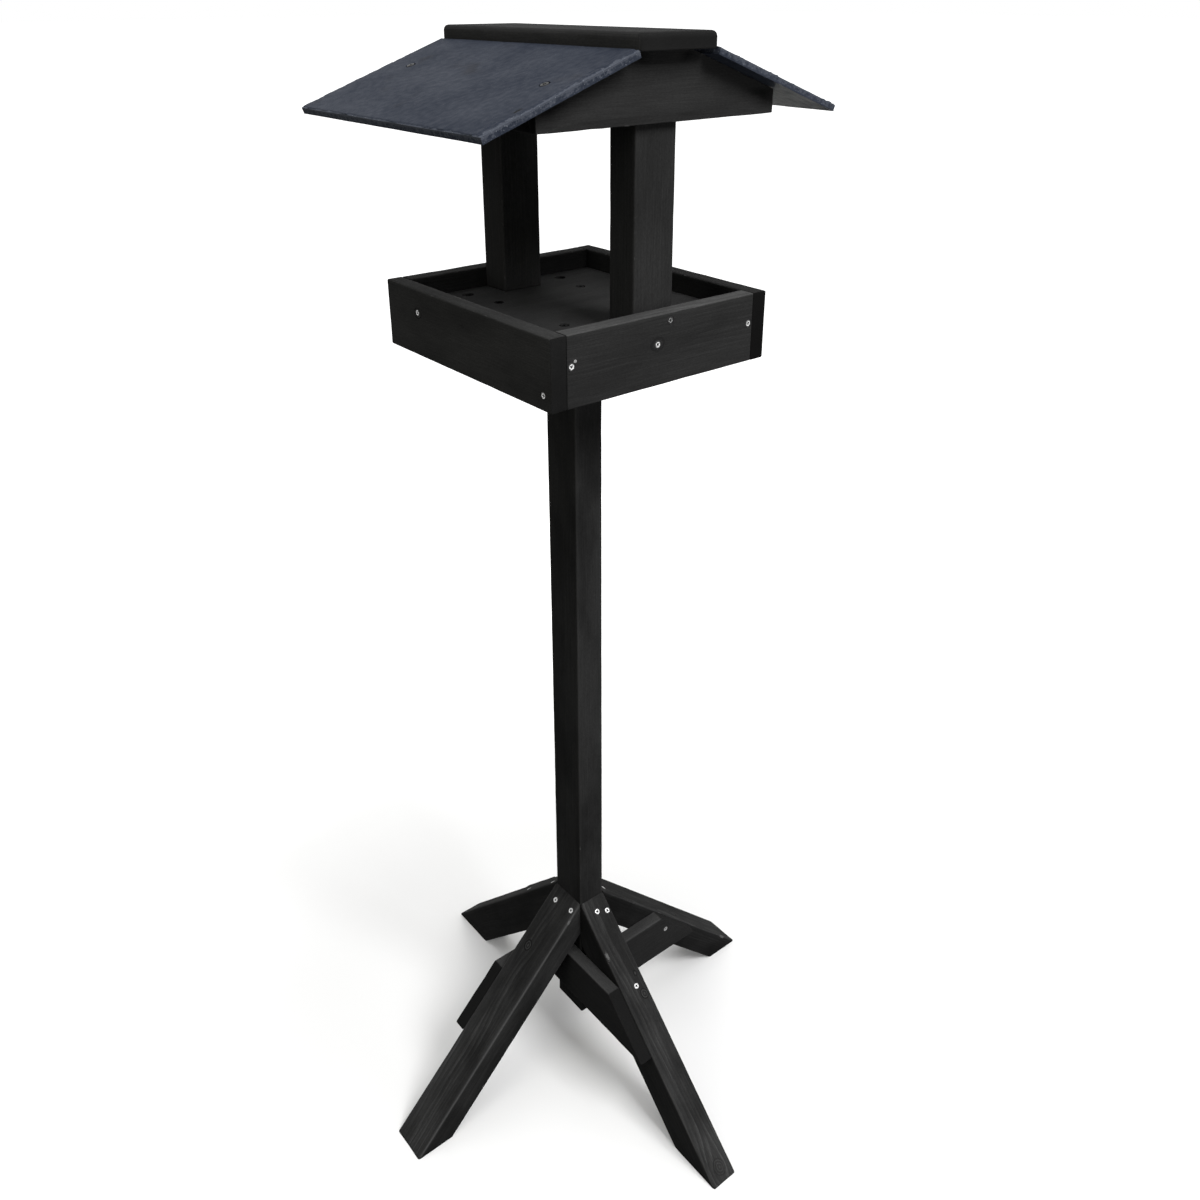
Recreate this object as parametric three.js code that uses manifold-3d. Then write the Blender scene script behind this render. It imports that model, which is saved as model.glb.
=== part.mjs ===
// Wooden bird table: a slate-roofed feeding tray on a post that stands on four braced legs.
// Millimetres. The origin is on the ground under the post's axis, +Z is up, the roof's ridge
// runs along Y, and the front gable faces -Y.
import * as THREE from "three";
import { mergeVertices } from "three/addons/utils/BufferGeometryUtils.js";
import Module from "manifold-3d";

const manifold = await Module();
manifold.setup();

// Whole table, from the ground to the top of the ridge cap
const overallHeight = 1320;

// Planed timber of one section for the post, the legs, the uprights' depth and the bearers
const timberNarrow = 37;
const timberWide = 52;
const timberArris = 2.5;

// Thin boards: the tray's sides and the braces
const boardArris = 1.5;

// Stand
const postGroundGap = 68;
const legTopHeight = 264;
const legLean = THREE.MathUtils.degToRad(45);
const braceThickness = 17;
const braceHeight = 66;
const sideBraceDrop = 4;
const frontBraceDrop = 11.5;
const braceEndInset = 3;

// Tray
const trayWidth = 272;
const trayDepth = 286;
const trayBoardThickness = 18;
const trayBoardHeight = 70;
const rimAboveFloor = 21;
const floorThickness = 12;
const drainHoleDiameter = 12;

// Roof
const uprightWidth = 49;
const uprightLength = 251;
const gableWidth = 279;
const gableEndHeight = 21.7;
const gableThickness = 9;
const flatTopMargin = 6;
const rafterThickness = 22;
const roofPitch = THREE.MathUtils.degToRad(19.6);
const eaveOverhang = 64.5;
const vergeOverhang = 20.5;
const slateThickness = 7.4;
const capWidth = 92;
const capSetback = 1;
const capThickness = 15;
const capEdgeRadius = 3.5;
const capCornerRadius = 5;

// Countersunk screws
const screwHeadDiameter = 8;
const screwShankDiameter = 4;
const screwHeadRim = 0.4;
const screwTipLength = 5;
const screwLength = 38;
const shortScrewLength = 29;
const slateScrewLength = 24;
const recessLength = 4.6;
const recessWidth = 1.2;
const recessDepth = 1.6;

// Clearances
const touchGap = 0.3;
const screwClearance = 0.3;
const cutOverrun = 20;

// Counts of the flat steps that stand for curves
const arrisSteps = 3;
const screwSides = 12;
const holeSides = 24;

// Places as shares of the sizes that they follow
const drainAlongShare = 0.525;
const drainAcrossShare = 0.83;
const floorScrewAlongShare = 0.46;
const floorScrewBearerShare = 0.58;
const cornerScrewInsetShare = 0.69;
const cornerScrewFloorShare = -0.25;
const middleScrewAlongShare = -0.08;
const middleScrewFloorShare = -0.17;
const uprightScrewAlongShare = 0.25;
const uprightScrewRimShare = 0.62;
const sideScrewAlongShare = 0.587;
const sideScrewFloorShare = 0.25;
const endScrewInsetShare = 0.65;
const endScrewHeightShare = 0.214;
const sideLegScrewShares = [
  { name: "upper", run: 0.05, across: -0.44, length: screwLength },
  { name: "lower", run: 0.04, across: 0.71, length: shortScrewLength },
];
const frontLegScrewShares = [
  { name: "upper", run: 0.051, across: -0.08, length: screwLength },
  { name: "lower", run: 0.065, across: 0.68, length: screwLength },
  { name: "middle", run: 0.33, across: 0.22, length: screwLength },
];
const braceScrewHeightShare = 0.63;
const braceScrewOutShare = 0.145;
const slateScrewShares = [
  { name: "a", end: 1, slope: 0.38, rafter: 0.48 },
  { name: "b", end: -1, slope: 0.45, rafter: 0.75 },
];

// Places and levels that follow from the sizes above
const capBottom = overallHeight - capThickness;
const floorTop = capBottom - uprightLength;
const floorBottom = floorTop - floorThickness;
const floorMiddle = floorTop - floorThickness / 2;
const rimTop = floorTop + rimAboveFloor;
const trayBottom = rimTop - trayBoardHeight;
const innerHalfWidth = trayWidth / 2 - trayBoardThickness;
const innerHalfDepth = trayDepth / 2 - trayBoardThickness;
const gableHalf = gableWidth / 2;
const flatTopHalf = uprightWidth / 2 + flatTopMargin;
const gableBottom = capBottom - gableEndHeight - (gableHalf - flatTopHalf) * Math.tan(roofPitch);
const eaveHalf = gableHalf + eaveOverhang;
const slateDepth = 2 * (innerHalfDepth + gableThickness + vergeOverhang);
const capDepth = slateDepth - 2 * capSetback;

// Finishes
const finishes = {
  timber: { color: "#232323", roughness: 0.62, metalness: 0 },
  board: { color: "#282828", roughness: 0.62, metalness: 0 },
  slate: { color: "#414853", roughness: 0.72, metalness: 0 },
  zinc: { color: "#b9bcc0", roughness: 0.35, metalness: 1 },
  blackScrew: { color: "#1c1c1e", roughness: 0.45, metalness: 0.6 },
};

function finish(name) {
  return new THREE.MeshStandardMaterial({ ...finishes[name], name, flatShading: true });
}

// Solids and meshes

function toSolid(geometry) {
  const bare = geometry.clone();
  bare.deleteAttribute("normal");
  bare.deleteAttribute("uv");
  const merged = mergeVertices(bare);
  const corners = merged.index.array;
  const triangles = [];
  for (let i = 0; i < corners.length; i += 3) {
    const [a, b, c] = [corners[i], corners[i + 1], corners[i + 2]];
    if (a !== b && b !== c && c !== a) triangles.push(a, b, c);
  }
  return new manifold.Manifold(
    new manifold.Mesh({
      numProp: 3,
      vertProperties: merged.attributes.position.array,
      triVerts: new Uint32Array(triangles),
    }),
  );
}

function toMesh(name, solid, finishName) {
  const { vertProperties, triVerts } = solid.getMesh();
  const geometry = new THREE.BufferGeometry();
  geometry.setAttribute("position", new THREE.BufferAttribute(vertProperties, 3));
  geometry.setIndex(new THREE.BufferAttribute(triVerts, 1));
  const mesh = new THREE.Mesh(geometry, finish(finishName));
  mesh.name = name;
  return mesh;
}

function cutAll(solid, cutters) {
  return cutters.reduce((rest, cutter) => rest.subtract(toSolid(cutter)), solid);
}

// A box between two opposite corners
function block(low, high) {
  const size = high.clone().sub(low);
  const middle = low.clone().add(high).multiplyScalar(0.5);
  return new THREE.BoxGeometry(size.x, size.y, size.z).translate(middle.x, middle.y, middle.z);
}

// A rectangle about the origin with its corners rounded
function roundedRectangle(width, height, radius) {
  const x = width / 2 - radius;
  const y = height / 2 - radius;
  const quarter = Math.PI / 2;
  const shape = new THREE.Shape();
  shape.absarc(x, y, radius, 0, quarter);
  shape.absarc(-x, y, radius, quarter, 2 * quarter);
  shape.absarc(-x, -y, radius, 2 * quarter, 3 * quarter);
  shape.absarc(x, -y, radius, 3 * quarter, 4 * quarter);
  return shape;
}

// Planed timber along +Z from the origin, width along X and height along Y
function timberAlongZ(width, height, length, arris) {
  const section = roundedRectangle(width, height, arris);
  const options = { depth: length, bevelEnabled: false, curveSegments: arrisSteps };
  return new THREE.ExtrudeGeometry(section, options);
}

// The same timber centred on the origin along X: its length, then its depth in Y and height in Z
function timberAlongX(length, depth, height, arris) {
  const timber = timberAlongZ(height, depth, length, arris);
  return timber.translate(0, 0, -length / 2).rotateY(Math.PI / 2);
}

// An outline of [across, up] points, extruded along Y between two places
function outlineAlongY(points, fromY, toY) {
  const outline = new THREE.Shape(points.map(([across, up]) => new THREE.Vector2(across, up)));
  const geometry = new THREE.ExtrudeGeometry(outline, { depth: toY - fromY, bevelEnabled: false });
  return geometry.rotateX(Math.PI / 2).translate(0, toY, 0);
}

// Screws: the head's centre is at the origin and the shank runs down -Z

function screwBody(length, clearance, overrun) {
  const head = screwHeadDiameter / 2 + clearance;
  const shank = screwShankDiameter / 2 + clearance;
  const coneBottom = -screwHeadRim - (head - shank);
  const profile = [
    new THREE.Vector2(0, -length - clearance),
    new THREE.Vector2(shank, screwTipLength - length - clearance),
    new THREE.Vector2(shank, coneBottom - clearance),
    new THREE.Vector2(head, -screwHeadRim - clearance),
    new THREE.Vector2(head, overrun),
    new THREE.Vector2(0, overrun),
  ];
  return new THREE.LatheGeometry(profile, screwSides).rotateX(Math.PI / 2);
}

function screwSolid(length) {
  const slot = new THREE.BoxGeometry(recessLength, recessWidth, 2 * recessDepth);
  const crossSlot = slot.clone().rotateZ(Math.PI / 2);
  return cutAll(toSolid(screwBody(length, 0, 0)), [slot, crossSlot]);
}

// A screw driven into a face at a point, along a direction
class Screw {
  constructor(name, point, direction, length, finishName = "zinc") {
    this.name = name;
    this.length = length;
    this.finishName = finishName;
    this.position = point;
    const outward = direction.clone().normalize().negate();
    this.quaternion = new THREE.Quaternion().setFromUnitVectors(new THREE.Vector3(0, 0, 1), outward);
  }

  mesh() {
    const mesh = toMesh(this.name, screwSolid(this.length), this.finishName);
    mesh.position.copy(this.position);
    mesh.quaternion.copy(this.quaternion);
    return mesh;
  }

  // The countersunk hole that the screw needs, turned about the post when a turn is given
  hole(turn = 0) {
    const place = new THREE.Matrix4().compose(this.position, this.quaternion, new THREE.Vector3(1, 1, 1));
    const hole = screwBody(this.length, screwClearance, cutOverrun).applyMatrix4(place);
    return hole.rotateZ(turn);
  }
}

// Half a turn about the post's axis takes each fitting to its mate on the opposite side
function mateOf(point) {
  return new THREE.Vector3(-point.x, -point.y, point.z);
}

// Stand: each quarter is made along +X and turned about the post
const quarters = [
  { side: "right", turn: 0, facesFront: false },
  { side: "rear", turn: Math.PI / 2, facesFront: true },
  { side: "left", turn: Math.PI, facesFront: false },
  { side: "front", turn: -Math.PI / 2, facesFront: true },
];

function quarterSizes(facesFront) {
  const postHalf = (facesFront ? timberWide : timberNarrow) / 2;
  const legWidth = facesFront ? timberNarrow : timberWide;
  const legDepth = facesFront ? timberWide : timberNarrow;
  const run = legTopHeight / Math.tan(legLean);
  const toe = postHalf + run;
  const levelWidth = legDepth / Math.sin(legLean);
  const braceOuter = legWidth / 2 + touchGap + braceThickness;
  return { postHalf, legWidth, legDepth, run, toe, levelWidth, braceOuter };
}

// Braces of one pair cross under the legs of the other pair, a drop below those legs' undersides
function braceBottomUnder(crossedLeg, braceOuter, drop) {
  const underside = (crossedLeg.toe - crossedLeg.levelWidth - braceOuter) * Math.tan(legLean);
  return underside - drop - braceHeight;
}

const sideSizes = quarterSizes(false);
const frontSizes = quarterSizes(true);
sideSizes.braceBottom = braceBottomUnder(frontSizes, sideSizes.braceOuter, sideBraceDrop);
frontSizes.braceBottom = braceBottomUnder(sideSizes, frontSizes.braceOuter, frontBraceDrop);

// Where the leg's sloping top face or, inset by a level distance, a line below it, meets a height
function legFaceAt(sizes, height, inset) {
  return sizes.toe - inset - height / Math.tan(legLean);
}

// A leg is sloping timber, cut plumb against the post and level on the ground
function legSolid(sizes) {
  const middleHeight = legTopHeight / 2;
  const length = legTopHeight / Math.sin(legLean) + 2 * sizes.legDepth;
  const timber = timberAlongX(length, sizes.legWidth, sizes.legDepth, timberArris);
  timber.rotateY(legLean);
  timber.translate(legFaceAt(sizes, middleHeight, sizes.levelWidth / 2), 0, middleHeight);
  const kept = block(
    new THREE.Vector3(sizes.postHalf + touchGap, -sizes.legWidth, 0),
    new THREE.Vector3(sizes.toe + cutOverrun, sizes.legWidth, legTopHeight + cutOverrun),
  );
  return toSolid(timber).intersect(toSolid(kept));
}

// A brace lies on the right of its leg, seen from the post. It starts at the post's far side and
// ends just inside the leg's sloping top face.
function braceSolid(sizes) {
  const inner = -sizes.postHalf;
  const face = -sizes.braceOuter;
  const length = legFaceAt(sizes, sizes.braceBottom, braceEndInset) - inner;
  const board = timberAlongX(length, braceThickness, braceHeight, boardArris);
  board.translate(inner + length / 2, face + braceThickness / 2, sizes.braceBottom + braceHeight / 2);
  const below = sizes.braceBottom - cutOverrun;
  const above = sizes.braceBottom + braceHeight + cutOverrun;
  const lowEnd = legFaceAt(sizes, below, braceEndInset);
  const highEnd = legFaceAt(sizes, above, braceEndInset);
  const beyondLeg = [
    [lowEnd, below],
    [lowEnd + length, below],
    [lowEnd + length, above],
    [highEnd, above],
  ];
  const endCut = outlineAlongY(beyondLeg, face - cutOverrun, face + braceThickness + cutOverrun);
  return cutAll(toSolid(board), [endCut]);
}

function legScrews(quarter, sizes) {
  const shares = quarter.facesFront ? frontLegScrewShares : sideLegScrewShares;
  const inward = new THREE.Vector3(-Math.sin(legLean), 0, -Math.cos(legLean));
  return shares.map(({ name, run, across, length }) => {
    const out = sizes.postHalf + run * sizes.run;
    const up = (sizes.toe - out) * Math.tan(legLean);
    const point = new THREE.Vector3(out, (across * sizes.legWidth) / 2, up);
    return new Screw(`leg_${quarter.side}_screw_${name}`, point, inward, length);
  });
}

// The side braces are screwed to their legs, the front and rear ones to the post
function braceScrew(quarter, sizes) {
  const inward = new THREE.Vector3(0, 1, 0);
  const up = sizes.braceBottom + braceHeight * (quarter.facesFront ? 1 / 2 : braceScrewHeightShare);
  const legMiddle = legFaceAt(sizes, up, (1 / 2 - braceScrewOutShare) * sizes.levelWidth);
  const out = quarter.facesFront ? 0 : legMiddle;
  const point = new THREE.Vector3(out, -sizes.braceOuter, up);
  return new Screw(`brace_${quarter.side}_screw`, point, inward, shortScrewLength);
}

const stand = new THREE.Group();
const postCuts = [];

for (const quarter of quarters) {
  const sizes = quarter.facesFront ? frontSizes : sideSizes;
  const group = new THREE.Group();
  group.rotation.z = quarter.turn;
  const screws = legScrews(quarter, sizes);
  const fixing = braceScrew(quarter, sizes);
  const legHoles = screws.map((screw) => screw.hole());
  if (quarter.facesFront) {
    postCuts.push(fixing.hole(quarter.turn));
  } else {
    legHoles.push(fixing.hole());
  }
  postCuts.push(...screws.map((screw) => screw.hole(quarter.turn)));
  group.add(toMesh(`leg_${quarter.side}`, cutAll(legSolid(sizes), legHoles), "timber"));
  group.add(toMesh(`brace_${quarter.side}`, cutAll(braceSolid(sizes), [fixing.hole()]), "board"));
  group.add(...screws.map((screw) => screw.mesh()), fixing.mesh());
  stand.add(group);
}

const post = timberAlongZ(timberNarrow, timberWide, floorBottom - postGroundGap, timberArris);
post.translate(0, 0, postGroundGap);
stand.add(toMesh("post", cutAll(toSolid(post), postCuts), "timber"));

// Tray

const tray = new THREE.Group();
const towardsRear = new THREE.Vector3(0, 1, 0);
const towardsRight = new THREE.Vector3(1, 0, 0);
const down = new THREE.Vector3(0, 0, -1);

// Screws through the front board; those that have a mate are repeated through the rear board
function frontBoardScrews() {
  const face = -trayDepth / 2;
  const corner = innerHalfWidth - cornerScrewInsetShare * screwHeadDiameter;
  const cornerHeight = floorMiddle + cornerScrewFloorShare * floorThickness;
  const middleOut = middleScrewAlongShare * innerHalfWidth;
  const middleHeight = floorMiddle + middleScrewFloorShare * floorThickness;
  const uprightOut = (uprightScrewAlongShare * uprightWidth) / 2;
  const uprightHeight = floorTop + uprightScrewRimShare * rimAboveFloor;
  return [
    { name: "corner_a", hasMate: true, point: new THREE.Vector3(-corner, face, cornerHeight) },
    { name: "corner_b", hasMate: true, point: new THREE.Vector3(corner, face, cornerHeight) },
    { name: "upright", hasMate: true, point: new THREE.Vector3(uprightOut, face, uprightHeight) },
    { name: "floor", hasMate: false, point: new THREE.Vector3(middleOut, face, middleHeight) },
  ];
}

// Screws through the left board, repeated through the right board
function leftBoardScrews() {
  const face = -trayWidth / 2;
  const floorHeight = floorMiddle + sideScrewFloorShare * floorThickness;
  const endPlace = -trayDepth / 2 + endScrewInsetShare * trayBoardThickness;
  const endHeight = trayBottom + endScrewHeightShare * trayBoardHeight;
  const floorPlace = (sideScrewAlongShare * trayDepth) / 2;
  return [
    { name: "floor", hasMate: true, point: new THREE.Vector3(face, floorPlace, floorHeight) },
    { name: "end", hasMate: true, point: new THREE.Vector3(face, endPlace, endHeight) },
  ];
}

function boardScrews(places, side, mateSide, direction) {
  const made = [];
  for (const { name, hasMate, point } of places) {
    made.push(new Screw(`tray_${side}_screw_${name}`, point, direction, screwLength));
    if (hasMate) {
      const mateName = `tray_${mateSide}_screw_${name}`;
      made.push(new Screw(mateName, mateOf(point), direction.clone().negate(), screwLength));
    }
  }
  return made;
}

// Black screws through the floor into the bearers
function floorScrews() {
  const made = [];
  const along = floorScrewAlongShare * innerHalfWidth;
  const across = timberWide / 2 + floorScrewBearerShare * timberWide;
  for (const [side, x] of [["left", -along], ["right", along]]) {
    for (const [end, y] of [["front", -across], ["rear", across]]) {
      const point = new THREE.Vector3(x, y, floorTop);
      made.push(new Screw(`floor_screw_${end}_${side}`, point, down, shortScrewLength, "blackScrew"));
    }
  }
  return made;
}

const endBoardScrews = boardScrews(frontBoardScrews(), "front", "rear", towardsRear);
const sideBoardScrews = boardScrews(leftBoardScrews(), "left", "right", towardsRight);
const bearerScrews = floorScrews();
const traySolids = new Map();

// The side boards run the full depth and the end boards stand between them
for (const [name, side] of [["tray_left", -1], ["tray_right", 1]]) {
  const board = timberAlongX(trayDepth, trayBoardThickness, trayBoardHeight, boardArris);
  board.rotateZ(Math.PI / 2);
  const out = side * (trayWidth - trayBoardThickness) / 2;
  board.translate(out, 0, trayBottom + trayBoardHeight / 2);
  traySolids.set(name, toSolid(board));
}
for (const [name, side] of [["tray_front", -1], ["tray_rear", 1]]) {
  const board = timberAlongX(2 * innerHalfWidth, trayBoardThickness, trayBoardHeight, boardArris);
  const out = side * (trayDepth - trayBoardThickness) / 2;
  board.translate(0, out, trayBottom + trayBoardHeight / 2);
  traySolids.set(name, toSolid(board));
}

// Bearers lie under the floor on both sides of the post, from side board to side board
for (const [name, side] of [["bearer_front", -1], ["bearer_rear", 1]]) {
  const height = floorBottom - trayBottom;
  const bearer = timberAlongX(2 * innerHalfWidth, timberWide, height, timberArris);
  bearer.translate(0, side * timberWide, trayBottom + height / 2);
  traySolids.set(name, toSolid(bearer));
}

function drainHole(x, y) {
  const height = floorThickness + 2 * cutOverrun;
  const radius = drainHoleDiameter / 2;
  const hole = new THREE.CylinderGeometry(radius, radius, height, holeSides);
  return hole.rotateX(Math.PI / 2).translate(x, y, floorMiddle);
}

function floorSolid() {
  const floor = block(
    new THREE.Vector3(-innerHalfWidth, -innerHalfDepth, floorBottom),
    new THREE.Vector3(innerHalfWidth, innerHalfDepth, floorTop),
  );
  const x = drainAlongShare * innerHalfWidth;
  const y = drainAcrossShare * innerHalfDepth;
  const holes = [drainHole(x, y), drainHole(-x, y), drainHole(x, -y), drainHole(-x, -y)];
  return cutAll(toSolid(floor), holes);
}

traySolids.set("tray_floor", floorSolid());

for (const screw of [...endBoardScrews, ...sideBoardScrews]) {
  for (const name of ["tray_left", "tray_right", "tray_front", "tray_rear", "tray_floor"]) {
    traySolids.set(name, traySolids.get(name).subtract(toSolid(screw.hole())));
  }
}
for (const screw of bearerScrews) {
  for (const name of ["tray_floor", "bearer_front", "bearer_rear"]) {
    traySolids.set(name, traySolids.get(name).subtract(toSolid(screw.hole())));
  }
}
for (const [name, solid] of traySolids) {
  tray.add(toMesh(name, solid, name.startsWith("bearer") ? "timber" : "board"));
}
tray.add(...[...endBoardScrews, ...sideBoardScrews, ...bearerScrews].map((screw) => screw.mesh()));

// Uprights stand on the floor against the end boards and reach up to the ridge cap

const uprights = new THREE.Group();
for (const [name, side] of [["upright_front", -1], ["upright_rear", 1]]) {
  const upright = timberAlongZ(uprightWidth, timberNarrow, uprightLength, timberArris);
  upright.translate(0, side * (innerHalfDepth - timberNarrow / 2), floorTop);
  const holes = endBoardScrews.map((screw) => screw.hole());
  uprights.add(toMesh(name, cutAll(toSolid(upright), holes), "timber"));
}

// Roof: the top line of the gables and rafters carries the slates

const roof = new THREE.Group();

function roofLineHeight(out) {
  return gableBottom + gableEndHeight + (gableHalf - out) * Math.tan(roofPitch);
}

// Gables stand against the uprights' outer faces and are level on top under the cap
for (const [name, side] of [["gable_front", -1], ["gable_rear", 1]]) {
  const outline = [
    [-gableHalf, gableBottom],
    [gableHalf, gableBottom],
    [gableHalf, roofLineHeight(gableHalf)],
    [flatTopHalf, capBottom],
    [-flatTopHalf, capBottom],
    [-gableHalf, roofLineHeight(gableHalf)],
  ];
  const faces = [side * innerHalfDepth, side * (innerHalfDepth + gableThickness)];
  const gable = outlineAlongY(outline, Math.min(...faces), Math.max(...faces));
  roof.add(toMesh(name, toSolid(gable), "board"));
}

const slateTop = slateThickness + touchGap;
const slateInner = slateInnerEdge();

// The slate's inner end face clears the cap's side at the level of the cap's underside
function slateInnerEdge() {
  const slope = Math.tan(roofPitch);
  const aboveCap = roofLineHeight(0) - capBottom;
  return (capWidth / 2 + touchGap + slope * aboveCap) / (1 + slope * slope);
}

// One screw near each end of a slate, square to its face, over the rafter there
function slateScrews(side) {
  const across = new THREE.Vector3(Math.sin(roofPitch), 0, Math.cos(roofPitch));
  return slateScrewShares.map(({ name, end, slope, rafter }) => {
    const out = slateInner + slope * (eaveHalf - slateInner);
    const place = innerHalfDepth - rafterThickness * (1 - rafter);
    const point = new THREE.Vector3(out, -end * place, roofLineHeight(out));
    point.addScaledVector(across, slateTop);
    const direction = across.clone().negate();
    if (side < 0) {
      point.copy(mateOf(point));
      direction.x *= side;
    }
    const sideName = side < 0 ? "left" : "right";
    return new Screw(`slate_${sideName}_screw_${name}`, point, direction, slateScrewLength, "blackScrew");
  });
}

// A slate lies along +X in its own frame and is turned down to the roof's pitch
function slateSolid(side) {
  const width = (eaveHalf - slateInner) / Math.cos(roofPitch);
  const slate = block(
    new THREE.Vector3(0, -slateDepth / 2, touchGap),
    new THREE.Vector3(width, slateDepth / 2, slateTop),
  );
  slate.rotateY(roofPitch).translate(slateInner, 0, roofLineHeight(slateInner));
  return toSolid(side < 0 ? slate.rotateZ(Math.PI) : slate);
}

// Rafters run just inside the gables, from the uprights' sides to the gables' ends. Those on the
// left are made on the right, at the other end, and turned half way round.
function rafterSolid(side, end) {
  const inner = uprightWidth / 2;
  const outline = [
    [inner, roofLineHeight(inner) - gableEndHeight],
    [gableHalf, gableBottom],
    [gableHalf, roofLineHeight(gableHalf)],
    [flatTopHalf, capBottom],
    [inner, capBottom],
  ];
  const faces = [side * end * innerHalfDepth, side * end * (innerHalfDepth - rafterThickness)];
  const rafter = outlineAlongY(outline, Math.min(...faces), Math.max(...faces));
  return toSolid(side < 0 ? rafter.rotateZ(Math.PI) : rafter);
}

for (const [sideName, side] of [["left", -1], ["right", 1]]) {
  const screws = slateScrews(side);
  const holes = screws.map((screw) => screw.hole());
  roof.add(toMesh(`slate_${sideName}`, cutAll(slateSolid(side), holes), "slate"));
  for (const [endName, end] of [["front", -1], ["rear", 1]]) {
    roof.add(toMesh(`rafter_${endName}_${sideName}`, cutAll(rafterSolid(side, end), holes), "timber"));
  }
  roof.add(...screws.map((screw) => screw.mesh()));
}

// The ridge cap is a flat board with all its edges rounded
function ridgeCap() {
  const outline = roundedRectangle(capWidth, capDepth, capCornerRadius);
  const cap = new THREE.ExtrudeGeometry(outline, {
    depth: capThickness - 2 * capEdgeRadius,
    bevelThickness: capEdgeRadius,
    bevelSize: capEdgeRadius,
    bevelOffset: -capEdgeRadius,
    bevelSegments: arrisSteps,
    curveSegments: arrisSteps,
  });
  return cap.translate(0, 0, capBottom + capEdgeRadius);
}

roof.add(toMesh("ridge_cap", toSolid(ridgeCap()), "board"));

const birdTable = new THREE.Group();
birdTable.name = "bird_table";
birdTable.add(stand, tray, uprights, roof);

export default birdTable;
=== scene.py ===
"""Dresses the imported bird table: black-stained timber, riven slates and countersunk screws.

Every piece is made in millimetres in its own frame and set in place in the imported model's frame, in
metres. Timber has its length along its own X. The front gable faces -Y and the ridge runs along Y.
Materials read the piece's own coordinates, which each mesh keeps as the attribute OWN_PLACE.
"""

import functools
import logging
import math
from dataclasses import dataclass, field
from enum import Enum
from typing import Iterable, Sequence

import bmesh
import bpy
from mathutils import Matrix, Vector, noise


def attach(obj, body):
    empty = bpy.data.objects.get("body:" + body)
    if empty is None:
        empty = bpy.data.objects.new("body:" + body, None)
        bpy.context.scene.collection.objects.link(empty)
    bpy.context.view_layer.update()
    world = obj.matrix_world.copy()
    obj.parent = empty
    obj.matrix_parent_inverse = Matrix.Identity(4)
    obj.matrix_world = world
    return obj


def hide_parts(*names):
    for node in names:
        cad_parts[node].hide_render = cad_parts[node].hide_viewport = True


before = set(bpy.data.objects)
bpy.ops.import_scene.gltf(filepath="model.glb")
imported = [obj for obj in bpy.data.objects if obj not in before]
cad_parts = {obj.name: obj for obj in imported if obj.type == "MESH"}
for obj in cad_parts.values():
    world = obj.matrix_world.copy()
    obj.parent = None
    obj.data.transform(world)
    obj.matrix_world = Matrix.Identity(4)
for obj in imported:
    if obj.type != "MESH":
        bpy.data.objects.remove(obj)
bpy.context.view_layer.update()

METRES = 0.001
MILLIMETRES = 1000.0
OWN_PLACE = "own_place"
BODY = "root"
X, Y, Z = Vector((1, 0, 0)), Vector((0, 1, 0)), Vector((0, 0, 1))
ZERO = (0.0, 0.0, 0.0)
WHITE = (1.0, 1.0, 1.0)
IN_MILLIMETRES = (MILLIMETRES, MILLIMETRES, MILLIMETRES)
FLAT_MILLIMETRES = (MILLIMETRES, MILLIMETRES, 0.0)
ENDS = (("front", -1), ("rear", 1))
SIDES = (("left", -1), ("right", 1))
ARC_TURNS = (0.0, math.pi / 6, math.pi / 3, math.pi / 2)
ROUNDING = tuple((1 - math.sin(turn), 1 - math.cos(turn)) for turn in ARC_TURNS)
Mark = tuple[float, float, float, float]

log = logging.getLogger("bird_table")


class Slot(Enum):
    """The record's material slots."""

    TIMBER = "timber"
    BOARD = "board"
    PLY = "ply"
    SLATE = "slate"
    ZINC = "zinc_screw"
    BLACK = "black_screw"


class Quarter(Enum):
    """The four legs, each with its turn about the post from +X."""

    RIGHT = ("right", 0.0)
    REAR = ("rear", math.pi / 2)
    LEFT = ("left", math.pi)
    FRONT = ("front", -math.pi / 2)

    @property
    def side(self) -> str:
        """The quarter's word in the node names."""
        return self.value[0]

    @property
    def turn(self) -> Matrix:
        """The rotation about the post that takes +X to this quarter."""
        return Matrix.Rotation(self.value[1], 4, "Z")

    @property
    def faces_front(self) -> bool:
        """Whether the leg runs along Y."""
        return self in (Quarter.FRONT, Quarter.REAR)


def axes(x: Vector, y: Vector, z: Vector, origin: Sequence[float]) -> Matrix:
    """Makes a placement from three axes and an origin.

    Args:
        x: Direction of the piece's own X.
        y: Direction of the piece's own Y.
        z: Direction of the piece's own Z.
        origin: Place of the piece's origin, in millimetres.

    Returns:
        The placement matrix, still in millimetres.
    """
    turned = Matrix((x, y, z)).transposed().to_4x4()
    return Matrix.Translation(Vector(origin)) @ turned


# Shader graphs


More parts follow.
